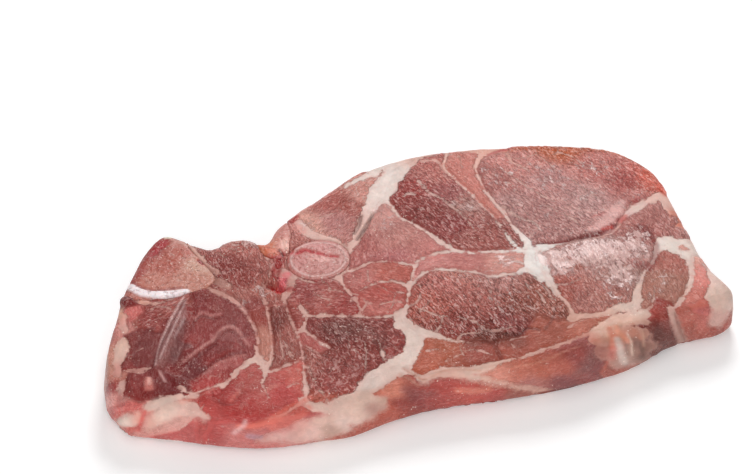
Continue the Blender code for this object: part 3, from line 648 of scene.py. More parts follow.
# Hollows and rises: route, height in millimetres, softness.
RELIEF = {
    "blood_hole": ("-44.2,3.6,1.6 -42.6,1.2,1.4", -4.2, 1.6),
    "hole_mouth": ("-43,3,3.4", -1.0, 2.5),
    "triangle_rise": ("-38,-0.5,1.5 -36,-4,1", 0.6, 1.5),
    "neck_split_1": ("-4,30.5,0.1 -6.5,25.5,0.2 -9.5,21.5,0.1", -0.9, 0.7),
    "neck_split_2": ("0,30,0.1 -4.5,24,0.25 -9.5,18,0.1", -1.0, 0.7),
    "chip_gap": ("-38.5,14.5,0.5 -41.5,10,0.8 -43,6,0.8", -1.2, 1.2),
    "vein_blob": ("-96.5,11,1.8 -94,9.5,1.6", 0.8, 1.6),
    "oval_fall": ("45,-20,0.4 47,-28,0.8 46,-36,0.6", -0.6, 1.6),
    "eye_fall": ("52,-3,0.2 64,-5.3,0.5 74,-5.5,0.5 83,-1.5,0.3", -0.6, 1.2),
    "wet_swell": ("66,-16,5 76,-16,6", 0.9, 9.0),
    "tall_swell": ("22,28,4 26,20,4", 0.6, 8.0),
    "fan_swell": ("-31,-30,4 -20,-33,4", 0.7, 7.0),
    "corner_swell": ("-78,-44,2 -62,-47,3", 0.9, 5.0),
    "notch_fall": ("-44,33,1 -50,32,1", -0.6, 2.5),
    "brown_crease_1": ("-56,26,0.2 -54.5,14,0.3 -53.5,3,0.2", -0.6, 1.0),
    "brown_crease_2": ("-50,24,0.2 -49.5,14,0.3", -0.4, 1.0),
    "pit": ("-88.7,-32,0.5 -88.7,-36,0.8 -87,-37.5,0.5", -1.1, 1.6),
    "deep_drop": ("-82,-33,1.5 -77,-28,1.6", -0.8, 3.5),
    "deep_crease_1": ("-75.2,-8,0.1 -71.4,-6.2,0.2 -68.4,-8.6,0.2 -65.5,-8.6,0.1", -0.6, 1.0),
    "deep_crease_2": (
        "-71.5,-20.4,0.1 -66.8,-16.6,0.2 -63.8,-16.2,0.2 -62.8,-19,0.2 -61.6,-25,0.1",
        -0.7, 1.0,
    ),
    "deep_crease_3": ("-82,-28.2,0.1 -77.2,-24.8,0.3 -72.4,-21.8,0.3 -70,-20.8,0.1", -0.8, 1.1),
    "deep_crease_4": ("-77.6,-31.8,0.1 -72.4,-28.7,0.3 -67,-27.6,0.3 -62.3,-27.8,0.1", -0.7, 1.1),
    "nub": ("-95.5,-31.5,0.9 -96.5,-34.5,1.1", 1.5, 1.4),
    "knob": ("-106,-47.5,1.8 -103.5,-47.5,2", 1.2, 2.5),
    "knob_line": ("-99.5,-45,0.2 -101,-48.5,0.3 -103,-52.5,0.2", -0.7, 1.0),
    "tongue": ("-96,-48.5,1.5 -90,-47,1.8 -85,-49.5,1", 0.7, 2.5),
    "silver_fold": ("-74.5,3,0.5 -79,-5,1.4 -84,-14,1.8 -88.5,-22,1.5 -92,-28,0.9", 1.3, 1.6),
    "silver_left_drop": ("-78,0,0.3 -83.5,-7,0.6 -89,-16,0.6 -93,-24,0.5", -0.9, 1.2),
    "silver_right_drop": ("-74,-4,0.4 -79,-14,0.5 -84,-23,0.6", -0.8, 1.2),
    "island_1": ("-90,-8.5,0.6 -93,-13.5,1.6 -95.5,-19,1.6", 0.7, 1.8),
    "island_2": ("-100,-28,0.8 -100.5,-33,1.4 -100.5,-36,0.8", 0.7, 1.6),
    "island_gap": ("-101,-24.5,0.3 -97,-26.5,0.4 -93.5,-25.5,0.3", -0.5, 1.0),
    "deep_bundle_1": ("-68,-26,1.5 -62,-31,1.5", 0.6, 2.0),
    "deep_bundle_2": ("-72,-34,1.2 -66,-35,1.2", 0.6, 2.0),
    "deep_bundle_3": ("-70,-14,1.5 -64,-12,1.5", 0.5, 2.5),
    "oval_foot": ("16.5,-39,0.1 20,-42,0.3 24,-44,0.4 28,-46,0.3 32,-43.5,0.3 36,-45.5,0.2", -0.8, 1.0),
    "wall_lens": ("24,-63.5,2 34,-65,4 44,-64,3", 0.7, 3.5),
    "lower_lens": ("-9,-63,2 3,-65.5,2.2 12,-68.5,1.5", 0.6, 2.5),
    "crest_fold": ("-13.5,-49.5,0.1 -11.5,-53,0.2 -10,-57,0.2 -8.5,-57.5,0.1", -0.8, 0.9),
    "crest_fold_2": ("-15.5,-52,0.1 -13.5,-56,0.2 -11.5,-59.5,0.1", -0.6, 0.8),
    "low_fold": ("-77.5,-46.5,0.1 -73,-50,0.2 -69,-47.5,0.1 -66,-42,0.1", -0.5, 0.9),
    "vertebra_foot": ("-92,9,0.2 -85,4,0.3 -76,6,0.2", -0.5, 1.0),
    "crest": ("-13,-57,0.6 -3,-55.5,0.8 8,-58.5,0.8 18,-57.5,0.5 36,-55,0.4 50,-52.5,0.4", 0.5, 1.2),
    "band_crease": ("83,-52,0.1 81.5,-60,0.2 80.5,-66,0.1", -0.7, 0.9),
    "dark_drop": ("76,-51,0.8 76,-57,1.2 72.5,-61,1", -0.8, 1.6),
    "fall_fold": ("63,-52,0.2 62,-58,0.3 60.5,-66,0.2", -0.7, 1.2),
    "fall_fold_2": ("67.5,-54,0.2 67,-60,0.3 65,-67,0.2", -0.6, 1.2),
    "fall_fold_3": ("57,-54,0.2 56,-60,0.3 54.5,-66,0.2", -0.5, 1.2),
}

# A pale film of painted sheen over the lean, which also carries a glossy coat: place, radius, amount.
PAINTED_SHEEN_AREAS = (
    "60,-12,6,0.7 53,-12,5.5,1.1 68,-14,10,1.0 76,-15,9,0.85 56,-17,6,0.85 73,-27,9,0.8 83,-16,8,0.85 "
    "88,-10,5,0.7 66,-38,7,0.45 -49,1,4,0.6 -57,-3,4,0.4 88,8,3,0.4 68,29,11,0.42 52,32,10,0.34 "
    "88,30,9,0.4 78,14,8,0.36 60,12,8,0.3 85,-9,6,0.5 34,23,7,0.4 38,12,6,0.3 -48,27,6,0.6 -49,33,5,0.6 "
    "31,-17,8,0.32 38,-8,6,0.6 50,40,8,0.34 4,24,7,0.36 2,31,5,0.4 -25,30,5,0.5 86,-33,6,0.4 "
    "80,-41,5,0.4 20,-12,6,0.26 30,-30,9,0.3 -63,33,5,0.6 -52,4,4,0.3 -80,3,4,0.3 97,12,4,0.3"
)

# Areas where fat fades into lean: place, radius, amount.
SOFT_AREAS = (
    "-57,-8,9,0.55 -60,4,6,0.5 -92,-47,7,0.4 -40,-60,10,0.45 -60,-68,9,0.5 90,5,9,0.5 76,-1,3,0.8 "
    "80.5,2,3.5,0.9 85,5.5,3.5,0.9 88.5,9,2.5,0.8 -76,-40,7,0.35"
)

# Areas that the wet film covers more: place, radius, amount.
WET_AREAS = (
    "68,-14,15,1 78,34,16,0.6 60,25,16,0.5 32,37,10,0.5 22,22,12,0.35 15,12,8,0.3 30,-22,12,0.35 "
    "88,-8,8,0.8 -50,27,7,0.5 -66,-14,10,0.55 -93,-16,6,0.6 -96,-46,9,0.7 -26,14,9,0.6 -44,3,5,1 "
    "-78,-25,8,0.6 47,-12,6,0.4 -64,-48,14,0.35 4,-58,12,0.3 -30,-35,10,0.2"
)


def numbers(text):
    """The rows of a table written as groups of comma-separated numbers."""
    return [[float(part) for part in group.split(",")] for group in text.split()]


def linear(code):
    """A colour written as #rrggbb, as linear red, green and blue."""
    value = np.array([int(code[i : i + 2], 16) for i in (1, 3, 5)]) / 255
    return np.where(value <= 0.04045, value / 12.92, ((value + 0.055) / 1.055) ** 2.4)


def bare(code, least=TINT_LEAST):
    """The base colour that looks like the colour written once the wet sheen lies over it."""
    seen = linear(code)
    return np.minimum(np.maximum(seen - SHEEN, least * seen) / LIGHT, 0.95)


def tints(text):
    """Places and base colours from a table of x,y,#rrggbb."""
    rows = [group.split(",") for group in text.split()]
    places = np.array([[float(row[0]), float(row[1])] for row in rows])
    return places, np.array([bare(row[2]) for row in rows])


def smooth(value, low, high):
    """A smooth step from 0 to 1 as the value goes from low to high."""
    t = np.clip((value - low) / (high - low), 0, 1)
    return t * t * (3 - 2 * t)


def curve_through(points, step=0.8):
    """A Catmull-Rom curve through x, y, half-width points, about a step apart."""
    points = np.array(points, float)
    if len(points) == 1:
        points = np.vstack([points, points + (0.01, 0, 0)])
    ends = np.vstack([2 * points[0] - points[1], points, 2 * points[-1] - points[-2]])
    curve = []
    for a, b, c, d in zip(ends, ends[1:], ends[2:], ends[3:]):
        count = max(2, int(np.hypot(*(c - b)[:2]) / step))
        bend, twist = 2 * a - 5 * b + 4 * c - d, 3 * b - a - 3 * c + d
        for t in np.arange(count)[:, None] / count:
            curve.append(b + ((c - a) * t + bend * t**2 + twist * t**3) / 2)
    curve.append(points[-1])
    return np.array(curve)


def segment_distance(x, y, a, b):
    """How far x, y lie outside the band from a to b, each an x, y, half-width."""
    along = b[:2] - a[:2]
    t = ((x - a[0]) * along[0] + (y - a[1]) * along[1]) / max(along @ along, 1e-9)
    t = np.clip(t, 0, 1)
    width = a[2] + (b[2] - a[2]) * t
    return np.hypot(x - a[0] - t * along[0], y - a[1] - t * along[1]) - width


def raster_window(low, high):
    """The raster's rows and columns between two corners."""
    first = np.maximum(((low - CORNER) / RASTER_CELL).astype(int), 0)
    last = np.minimum(((high - CORNER) / RASTER_CELL).astype(int) + 2, (RASTER[1], RASTER[0]))
    last = np.maximum(last, first + 1)
    return slice(first[1], last[1]), slice(first[0], last[0])


def raster_places(window):
    """The x and the y of a window's cells, in millimetres."""
    rows, columns = window
    x = CORNER[0] + RASTER_CELL * np.arange(columns.start, columns.stop)
    y = CORNER[1] + RASTER_CELL * np.arange(rows.start, rows.stop)
    return x[None, :], y[:, None]


def band(text, reach=REACH):
    """The window round a route's band, and the distance outside it there, up to the reach."""
    curve = curve_through(numbers(text))
    spread = curve[:, 2].max() + reach
    window = raster_window(curve[:, :2].min(0) - spread, curve[:, :2].max(0) + spread)
    distance = np.full((window[0].stop - window[0].start, window[1].stop - window[1].start), reach)
    for a, b in zip(curve, curve[1:]):
        near = max(a[2], b[2]) + reach
        part = raster_window(np.minimum(a, b)[:2] - near, np.maximum(a, b)[:2] + near)
        x, y = raster_places(part)
        inner = tuple(slice(p.start - w.start, p.stop - w.start) for p, w in zip(part, window))
        distance[inner] = np.minimum(distance[inner], segment_distance(x, y, a, b))
    return window, distance


def lattice_noise(u, v, seed):
    """Smooth noise between -1 and 1, with one random value at each whole u, v."""
    table = np.random.default_rng(seed).uniform(-1, 1, (256, 256))
    iu = np.floor(u).astype(int)
    iv = np.floor(v).astype(int)
    fu = smooth(u - iu, 0, 1)
    fv = smooth(v - iv, 0, 1)
    low = table[iv & 255, iu & 255] * (1 - fu) + table[iv & 255, (iu + 1) & 255] * fu
    high = table[(iv + 1) & 255, iu & 255] * (1 - fu) + table[(iv + 1) & 255, (iu + 1) & 255] * fu
    return low * (1 - fv) + high * fv


def layered_noise(u, v, seed, layers=3):
    """Noise between -1 and 1, each layer twice as fine as the last and half as strong."""
    total = 0
    for layer in range(layers):
        total = total + lattice_noise(u * 2**layer + 7.3 * layer, v * 2**layer, seed + layer) / 2**layer
    return total / (2 - 0.5 ** (layers - 1))


def blur(field, radius):
    """Three box filters along each axis, which come close to a bell curve."""
    half = max(1, int(radius / RASTER_CELL / 1.7))
    for axis in (0, 1) * 3:
        moved = np.moveaxis(field, axis, 0)
        padded = np.concatenate([moved[:1]] * (half + 1) + [moved] + [moved[-1:]] * half)
        total = np.cumsum(padded, axis=0)
        field = np.moveaxis((total[2 * half + 1 :] - total[: -2 * half - 1]) / (2 * half + 1), 0, axis)
    return field


def fat_network():
    """The distance outside the fat seams, negative inside them, in millimetres."""
    distance = np.full(RASTER, REACH)
    for text in FAT_SEAMS.values():
        window, here = band(text)
        old = distance[window]
        share = np.clip(0.5 + 0.5 * (old - here) / SEAM_BLEND, 0, 1)
        distance[window] = old * (1 - share) + here * share - SEAM_BLEND * share * (1 - share)
    for text in LEAN_ISLANDS.values():
        window, here = band(text)
        distance[window] = np.maximum(distance[window], -here)
    return distance


def thread_network():
    """How much fine fat shows, from 0 to 1, along the thin threads."""
    amount = np.zeros(RASTER)
    for text in FAT_THREADS.values():
        window, here = band(text, 1.5)
        strength = 1 - smooth(here, -0.1, 0.36)
        amount[window] = np.maximum(amount[window], strength)
    return amount


def grow_muscles(fat, threads):
    """Which muscle each raster cell belongs to: growth from every tint, slowed by fat."""
    step = GROWTH_STEP
    cost = np.where((fat < 0.2) | (threads > 0.6), FAT_COST, 1.0)[::step, ::step]
    rows, columns = cost.shape
    cost = cost.ravel().tolist()
    owner = [-1] * (rows * columns)
    heap = []
    for number, (table, *_) in enumerate(MUSCLES.values()):
        for x, y in tints(table)[0]:
            column = int((x - CORNER[0]) / RASTER_CELL / step)
            row = int((y - CORNER[1]) / RASTER_CELL / step)
            heap.append((0.0, row * columns + column, number))
    heapq.heapify(heap)
    while heap:
        spent, place, number = heapq.heappop(heap)
        if owner[place] >= 0:
            continue
        owner[place] = number
        row, column = divmod(place, columns)
        around = (
            (row > 0, -columns),
            (row < rows - 1, columns),
            (column > 0, -1),
            (column < columns - 1, 1),
        )
        for inside, move in around:
            if inside and owner[place + move] < 0:
                heapq.heappush(heap, (spent + cost[place + move], place + move, number))
    coarse = np.array(owner).reshape(rows, columns)
    return np.repeat(np.repeat(coarse, step, 0), step, 1)[: RASTER[0], : RASTER[1]]


def tint_field(places, colours, x, y, spread):
    """A colour at each x, y, mixed from the tints near it."""
    weight = np.zeros(np.broadcast(x, y).shape)
    total = np.zeros(weight.shape + (3,))
    for place, colour in zip(places, colours):
        near = 1 / (((x - place[0]) ** 2 + (y - place[1]) ** 2) / spread**2 + 0.05) ** 2
        weight += near
        total += near[..., None] * colour
    return total / weight[..., None]


def patches(text, x, y):
    """How much of a table's round patches, each a place, a radius and an amount, lies at each x, y."""
    cover = np.zeros(x.shape)
    for place_x, place_y, radius, amount in numbers(text):
        near = np.exp(-(((x - place_x) ** 2 + (y - place_y) ** 2) / radius**2))
        cover = np.maximum(cover, amount * near)
    return cover


class Plan:
    """Every field of the cut face, on the raster."""

    def __init__(self):
        x, y = raster_places((slice(0, RASTER[0]), slice(0, RASTER[1])))
        x, y = np.broadcast_arrays(x, y)
        self.fat = fat_network()
        self.threads = thread_network()
        self.crisp = 1 - patches(SOFT_AREAS, x, y)
        # The pale film is painted sheen.
        self.sheen_film = patches(PAINTED_SHEEN_AREAS, x, y)
        self.wet = np.maximum(DAMP, patches(WET_AREAS, x, y))
        self.fill_muscles(x, y)
        places, colours = tints(FAT_TINTS)
        self.suet = tint_field(places, colours * FAT_LIGHT, x, y, FAT_SPREAD)
        self.stain()
        self.height = self.relief(x, y)
        self.coarse *= self.crisp

    def fill_muscles(self, x, y):
        """Each muscle's colour, grain, coarseness and marbling over the cells that it grew to."""
        owner = grow_muscles(self.fat, self.threads)
        self.lean = np.zeros(RASTER + (3,))
        self.coarse = np.zeros(RASTER)
        self.marbling = np.zeros(RASTER)
        self.fibre = np.zeros(RASTER + (2,))
        for number, (table, grain, coarse, marbling) in enumerate(MUSCLES.values()):
            mine = owner == number
            self.lean[mine] = tint_field(*tints(table), x[mine], y[mine], LEAN_SPREAD)
            self.coarse[mine] = coarse
            self.marbling[mine] = marbling
            self.fibre[mine] = grain_places(grain, x[mine], y[mine])
        for channel in range(3):
            self.lean[..., channel] = blur(self.lean[..., channel], 0.7)
        border = (owner != np.roll(owner, 1, 0)) | (owner != np.roll(owner, 1, 1))
        near_border = np.clip(blur(border.astype(float), 0.9) * 9, 0, 1)
        self.coarse = blur(self.coarse, 1.5) * (1 - near_border)

    def stain(self):
        """Lays the marks over the lean and the fat, painted shade and highlights among them."""
        for text, colour, strength, softness in STAINS.values():
            window, here = band(text, softness + 1)
            share = strength * (1 - smooth(here, -0.5 * softness, softness))
            for field in (self.lean, self.suet):
                field[window] += share[..., None] * (bare(colour, MARK_LEAST) - field[window])

    def relief(self, x, y):
        """The height that the cut face gains over the plain slab, in millimetres."""
        lean = smooth(self.fat, -0.2, 1.6)
        crease = np.exp(-((self.fat / CREASE_WIDTH) ** 2))
        height = LEAN_SWELL * lean - SEAM_CREASE * crease - THREAD_CREASE * self.threads * lean
        for size, rise, seed in SWELLS:
            height += rise * layered_noise(x / size, y / size, seed)
        along, across = self.fibre[..., 0], self.fibre[..., 1]
        wander = layered_noise(along / 3.2, across / 3.2, 31, 2)
        ridges = layered_noise(along / 5.5 + wander * 0.3, across / 1.7 + wander * 0.5, 41, 2)
        height += BUNDLE_HEIGHT * self.coarse * lean * (1 - np.abs(ridges) * 2)
        height += GRIT_HEIGHT * lattice_noise(x / 1.3, y / 1.3, 51) * (1 - 0.5 * lean)
        for text, rise, softness in RELIEF.values():
            window, here = band(text, softness + 1)
            height[window] += rise * (1 - smooth(here, -0.6 * softness, softness))
        return height

    def at(self, field, x, y):
        """A field's value at places in millimetres, mixed from the four cells round each."""
        values = getattr(self, field)
        u = np.clip((x - CORNER[0]) / RASTER_CELL, 0, RASTER[1] - 1.001)
        v = np.clip((y - CORNER[1]) / RASTER_CELL, 0, RASTER[0] - 1.001)
        iu, iv = u.astype(int), v.astype(int)
        fu, fv = u - iu, v - iv
        if values.ndim == 3:
            fu, fv = fu[:, None], fv[:, None]
        low = values[iv, iu] * (1 - fu) + values[iv, iu + 1] * fu
        high = values[iv + 1, iu] * (1 - fu) + values[iv + 1, iu + 1] * fu
        return low * (1 - fv) + high * fv


def grain_places(grain, x, y):
    """Places along and across the grain, which runs one way or spreads from a hub."""
    if isinstance(grain, tuple):
        away = np.hypot(x - grain[0], y - grain[1])
        turn = np.arctan2(y - grain[1], x - grain[0])
        return np.stack([away, turn * HUB_RADIUS], -1)
    angle = math.radians(grain)
    along = x * math.cos(angle) + y * math.sin(angle)
    across = -x * math.sin(angle) + y * math.cos(angle)
    return np.stack([along, across], -1)


def deselect_all():
    """Leaves any edit mode, with nothing selected."""
    if bpy.context.object and bpy.context.object.mode != "OBJECT":
        bpy.ops.object.mode_set(mode="OBJECT")
    bpy.ops.object.select_all(action="DESELECT")


def only(piece):
    """Makes the piece the one active, selected object."""
    deselect_all()
    piece.select_set(True)
    bpy.context.view_layer.objects.active = piece


def merged_copy(node, name):
    """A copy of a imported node's mesh, with its loose triangles joined."""
    piece = bpy.data.objects.new(name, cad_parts[node].data.copy())
    piece.data.name = name
    piece.data.materials.clear()
    bpy.context.scene.collection.objects.link(piece)
    only(piece)
    bpy.ops.object.mode_set(mode="EDIT")
    bpy.ops.mesh.select_all(action="SELECT")
    bpy.ops.mesh.remove_doubles(threshold=MERGE_DISTANCE)
    bpy.ops.mesh.normals_make_consistent(inside=False)
    bpy.ops.object.mode_set(mode="OBJECT")
    leftovers = [a.name for a in piece.data.attributes if a.name.startswith(("UV", "Col", "custom"))]
    for name in leftovers:
        piece.data.attributes.remove(piece.data.attributes[name])
    return piece


def add_modifier(piece, kind, **settings):
    """Adds a modifier with its settings and applies it."""
    only(piece)
    modifier = piece.modifiers.new(kind.title(), kind)
    for name, value in settings.items():
        setattr(modifier, name, value)
    bpy.ops.object.modifier_apply(modifier=modifier.name)


def read_places(piece):
    """The piece's points in millimetres and its point normals."""
    mesh = piece.data
    places = np.empty(len(mesh.vertices) * 3, np.float32)
    mesh.vertices.foreach_get("co", places)
    normals = np.empty(len(mesh.vertices) * 3, np.float32)
    mesh.vertex_normals.foreach_get("vector", normals)
    return places.reshape(-1, 3).astype(float) / MM, normals.reshape(-1, 3).astype(float)


def write_places(piece, places):
    """Moves the piece's points to places in millimetres."""
    piece.data.vertices.foreach_set("co", (places * MM).astype(np.float32).ravel())
    piece.data.update()


def write_value(piece, name, values):
    """Stores a number, a vector or a colour at each point, by the shape of the values."""
    if values.ndim == 1:
        layer = piece.data.attributes.new(name, "FLOAT", "POINT")
        layer.data.foreach_set("value", values.astype(np.float32))
    elif name == "fibre":
        layer = piece.data.attributes.new(name, "FLOAT_VECTOR", "POINT")
        layer.data.foreach_set("vector", values.astype(np.float32).ravel())
    else:
        layer = piece.data.color_attributes.new(name, "FLOAT_COLOR", "POINT")
        full = np.concatenate([values, np.ones((len(values), 1))], 1)
        layer.data.foreach_set("color", full.astype(np.float32).ravel())


def thin_faces(piece, chosen, ratio):
    """Collapses the chosen points' faces to a share of their number."""
    only(piece)
    mesh = piece.data
    bpy.ops.object.mode_set(mode="EDIT")
    bpy.ops.mesh.select_mode(type="VERT")
    bpy.ops.mesh.select_all(action="DESELECT")
    bpy.ops.object.mode_set(mode="OBJECT")
    mesh.vertices.foreach_set("select", chosen)
    bpy.ops.object.mode_set(mode="EDIT")
    bpy.ops.mesh.select_mode(type="VERT")
    bpy.ops.mesh.decimate(ratio=ratio)
    bpy.ops.object.mode_set(mode="OBJECT")


def band_at(text, x, y):
    """The distance of each x, y outside a route's band."""
    distance = np.full(len(x), 99.0)
    curve = curve_through(numbers(text), 2.0)
    for a, b in zip(curve, curve[1:]):
        distance = np.minimum(distance, segment_distance(x, y, a, b))
    return distance


def flesh_fields(plan, places, normals):
    """What the shader and the relief need at each point of the flesh."""
    x, y, z = places.T
    standing = smooth(normals[:, 2], -0.95, -0.6)
    steep = (1 - smooth(normals[:, 2], 0.3, 0.78)) * standing
    outward = normals[:, :2] / np.maximum(np.hypot(*normals[:, :2].T), 1e-6)[:, None]
    ahead = LAYOUT_POINT - places
    facing = (outward * ahead[:, :2]).sum(1) / np.hypot(*ahead[:, :2].T)
    front = smooth(facing, 0.0, 0.3) * (1 - smooth(normals[:, 2], 0.92, 0.99)) * standing
    depth = CUT_LEVEL - z
    drop = ahead[:, :2] * (depth / ahead[:, 2])[:, None]
    back = steep * (1 - front)
    inward = back * (BACK_INWARD[0] + BACK_INWARD[1] * depth)
    aside = back * (BACK_ASIDE[1] * layered_noise((x - y) / 13, z / 8, 71) + BACK_ASIDE[0] * depth)
    sample_x = x + front * drop[:, 0] - inward * outward[:, 0] - aside * outward[:, 1]
    sample_y = y + front * drop[:, 1] - inward * outward[:, 1] + aside * outward[:, 0]
    names = ("lean", "suet", "fat", "threads", "wet", "sheen_film", "marbling")
    fields = {name: plan.at(name, sample_x, sample_y) for name in names}
    sheenless = FRONT_SHEENLESS * steep * front
    fields["lean"] += sheenless[:, None] * SHEEN / LIGHT
    fields["lean"] += BACK_CALM * back[:, None] * (bare(BACK_LEAN) - fields["lean"])
    fields["coarse"] = plan.at("coarse", sample_x, sample_y) * (1 - BACK_SMOOTHING * back)
    fields["lean"] *= (1 + GRAIN_SHADE * fields["coarse"])[:, None]
    fields["fat"] += back * BACK_SEAM_WANDER * layered_noise((x - y) / 9, z / 4, 61)
    fields["fibre"] = np.concatenate([plan.at("fibre", sample_x, sample_y), z[:, None]], 1)
    upward = np.maximum(smooth(normals[:, 2], 0.25, 0.75), front)
    fields["crisp"] = (1 - WALL_SOFTNESS * steep) * plan.at("crisp", sample_x, sample_y)
    fields["rise"] = upward * plan.at("height", sample_x, sample_y)
    fields["rise"] += steep * WALL_SWELL * layered_noise((x - y) / 8, z / 3.5, 66)
    return fields


def build_flesh(sizes):
    """The flesh and its fat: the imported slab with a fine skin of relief, painted from the plan."""
    plan = Plan()
    piece = merged_copy("meat", "flesh")
    add_modifier(piece, "REMESH", mode="VOXEL", voxel_size=sizes.flesh_cell, use_smooth_shade=True)
    add_modifier(piece, "SMOOTH", factor=0.5, iterations=8)
    places, normals = read_places(piece)
    under = (normals[:, 2] < -0.8) & (places[:, 2] < 1.5)
    thin_faces(piece, under, UNDERSIDE_FACES)
    places, normals = read_places(piece)
    upright = (np.abs(normals[:, 2]) < 0.8) & (places[:, 2] > 1) & (places[:, 2] < 15)
    thin_faces(piece, upright & (normals[:, 1] > 0.1), BACK_FACES)
    places, normals = read_places(piece)
    fields = flesh_fields(plan, places, normals)
    write_places(piece, places + normals * fields.pop("rise")[:, None])
    for name, values in fields.items():
        write_value(piece, name, values)
    only(piece)
    bpy.ops.object.shade_smooth()
    piece.data.materials.append(flesh_material(sizes))
    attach(piece, "root")
    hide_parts("meat")
    return piece


# Sawn bone: colours by place.
BONE_TINTS = {
    "vertebra": "-78,25,#b4675b -84,18,#c27d70 -70,30,#bb7065 -90,24,#ab5d55 -72,14,#c48375 -66,33,#d0a095 "
    "-82,34,#a04f46 -66,22,#cf9c8c",
    "round_bone": "-22,16,#cd8984 -27,8,#c2817a -33,12,#c07a74 -18,12,#c68a83",
    "bone_chip": "-35,22,#df9a8f -41,23,#c9775f -34,32,#d08c84 -41,32,#c98a80 -38,17,#b0564f",
}
# Each mark: route, colour, strength, softness, rise in millimetres.
BONE_MARKS = {
    "vertebra": {
        "arc": (
            "-93,20,1 -91,15.5,1.4 -88.5,12.3,1.6 -84.5,10,1.6 -80,9,1.5 -74,8.5,1.1",
            "#ead2d3", 0.95, 0.7, 0.5,
        ),
        "arc_shade": (
            "-91,20,0.3 -88.5,15.5,0.4 -85,12.6,0.4 -80,11.6,0.4 -75,11.2,0.3",
            "#a06a6c", 0.6, 0.6, -0.3,
        ),
        "blood": ("-76,37.5,2 -79,34.5,1.7 -81,32,0.8", "#a01f27", 0.95, 1.4, -0.5),
        "blood_edge": ("-81,33,0.8 -83,30,0.5", "#a04042", 0.6, 1.2, 0.0),
        "specks": ("-74.5,39.8,0.5 -73.2,39,0.6", "#dccaba", 0.9, 0.5, 0.2),
        "hole_rim": ("-65.5,24,1.5 -64.3,21,1.4", "#c98a80", 0.8, 0.9, 0.3),
        "hole": ("-65.5,23.5,0.8 -64.5,21.5,0.8", "#97302f", 0.95, 0.8, -1.2),
    },
    "round_bone": {
        "split": (
            "-34,21,0.4 -33,17,0.7 -29,18,0.6 -26,16,0.5 -22,13,0.4 -18.5,11.5,0.3",
            "#b3282f", 0.95, 0.6, -0.5,
        ),
        "split_top": ("-33.5,21,0.4 -29,22.8,0.35 -25,24,0.3", "#b2504c", 0.7, 0.5, -0.3),
        "pale": ("-27,13,1.2 -23,11,1", "#d9a199", 0.6, 1.6, 0.1),
    },
    "bone_chip": {
        "tan": ("-42.5,25,0.8 -40.5,21,1.4 -39.5,18.5,1", "#c4704f", 0.85, 1.0, 0.2),
        "crack_1": ("-37.5,21,0.15 -36.8,17,0.3 -38,14.5,0.3", "#5b1f1a", 0.9, 0.4, -0.8),
        "crack_2": ("-35,27,0.12 -35.5,20,0.2", "#8e4038", 0.8, 0.4, -0.5),
        "blood": ("-39.5,16.5,1 -37.5,16,0.8", "#a02c2c", 0.9, 0.8, -0.1),
        "pale": ("-34.5,25,1 -34.8,21,1", "#e9b5aa", 0.7, 1.0, 0.2),
    },
}
# How strongly a paler ring of compact bone shows just inside each outline.
BONE_RIM = {"vertebra": 0.0, "round_bone": 1.0, "bone_chip": 0.0}


def rim_distance(node, places):
    """How far inside its own outline each point of a bone lies."""
    low, high = (np.array(corner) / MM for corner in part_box(node))
    middle, half = (low + high)[:2] / 2, (high - low)[:2] / 2
    reach = np.hypot(*((places[:, :2] - middle) / half).T)
    return (1 - reach) * half.mean()


def build_bone(node, sizes):
    """One sawn bone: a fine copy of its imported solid, spongy on the cut face."""
    piece = merged_copy(node, "sawn_" + node)
    add_modifier(piece, "REMESH", mode="VOXEL", voxel_size=sizes.bone_cell, use_smooth_shade=True)
    add_modifier(piece, "SMOOTH", factor=0.5, iterations=4)
    places, normals = read_places(piece)
    x, y = places[:, :2].T
    up = smooth(normals[:, 2], 0.2, 0.8)
    colour = tint_field(*tints(BONE_TINTS[node]), x, y, BONE_SPREAD) * BONE_LIGHT
    rise = 0.16 * layered_noise(x / 1.1, y / 1.1, 101, 2) + 0.25 * layered_noise(x / 6, y / 6, 111)
    off_ring = np.abs(rim_distance(node, places) - RING_INSET)
    ring = BONE_RIM[node] * (1 - smooth(off_ring, 0.1, 0.8))
    rise += RING_RISE * ring
    for text, mark, strength, softness, swell in BONE_MARKS[node].values():
        cover = 1 - smooth(band_at(text, x, y), -0.5 * softness, softness)
        colour += (strength * cover)[:, None] * (bare(mark, MARK_LEAST) - colour)
        rise += swell * cover
    rise = rise * up + sizes.bone_fit / MM * (1 - up)
    write_places(piece, places + normals * rise[:, None])
    write_value(piece, "lean", colour)
    write_value(piece, "rim", ring)
    only(piece)
    bpy.ops.object.shade_smooth()
    piece.data.materials.append(bone_material(sizes))
    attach(piece, "root")
    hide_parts(node)
    return piece


# Every noise in the finishes: scale, detail, distortion, roughness.
NOISES = {
    "grain_waves": (1.0, 2.0, 1.1, 0.55),
    "grain_grit": (2.4, 2.0, 0.3, 0.6),
    "seam_fine": (1100.0, 3.0, 0.4, 0.5),
    "seam_broad": (330.0, 2.0, 0.6, 0.5),
    "patches": (160.0, 3.0, 0.5, 0.5),
    "fleck_lines": (240.0, 4.0, 1.2, 0.5),
    "fleck_areas": (75.0, 2.0, 0.3, 0.5),
    "suet_mottle": (420.0, 3.0, 0.5, 0.5),
    "suet_clouds": (95.0, 2.0, 1.0, 0.5),
    "blush": (110.0, 3.0, 0.8, 0.5),
    "thin_fat": (260.0, 3.0, 0.0, 0.5),
    "sheen_film": (330.0, 5.0, 0.8, 0.68),
    "crumbs_and_glints": (1150.0, 1.0, 0.2, 0.5),
    "glint_crumb_areas": (62.0, 2.0, 0.4, 0.5),
    "skin": (1500.0, 2.0, 0.0, 0.5),
    "struts": (900.0, 3.0, 0.8, 0.5),
    "pores": (700.0, 3.0, 0.4, 0.5),
    "saw_dust_and_glints": (1250.0, 1.0, 0.3, 0.5),
    "saw_marks": (1600.0, 2.0, 0.0, 0.5),
    "table_clouds": (3.0, 2.0, 0.0, 0.5),
}
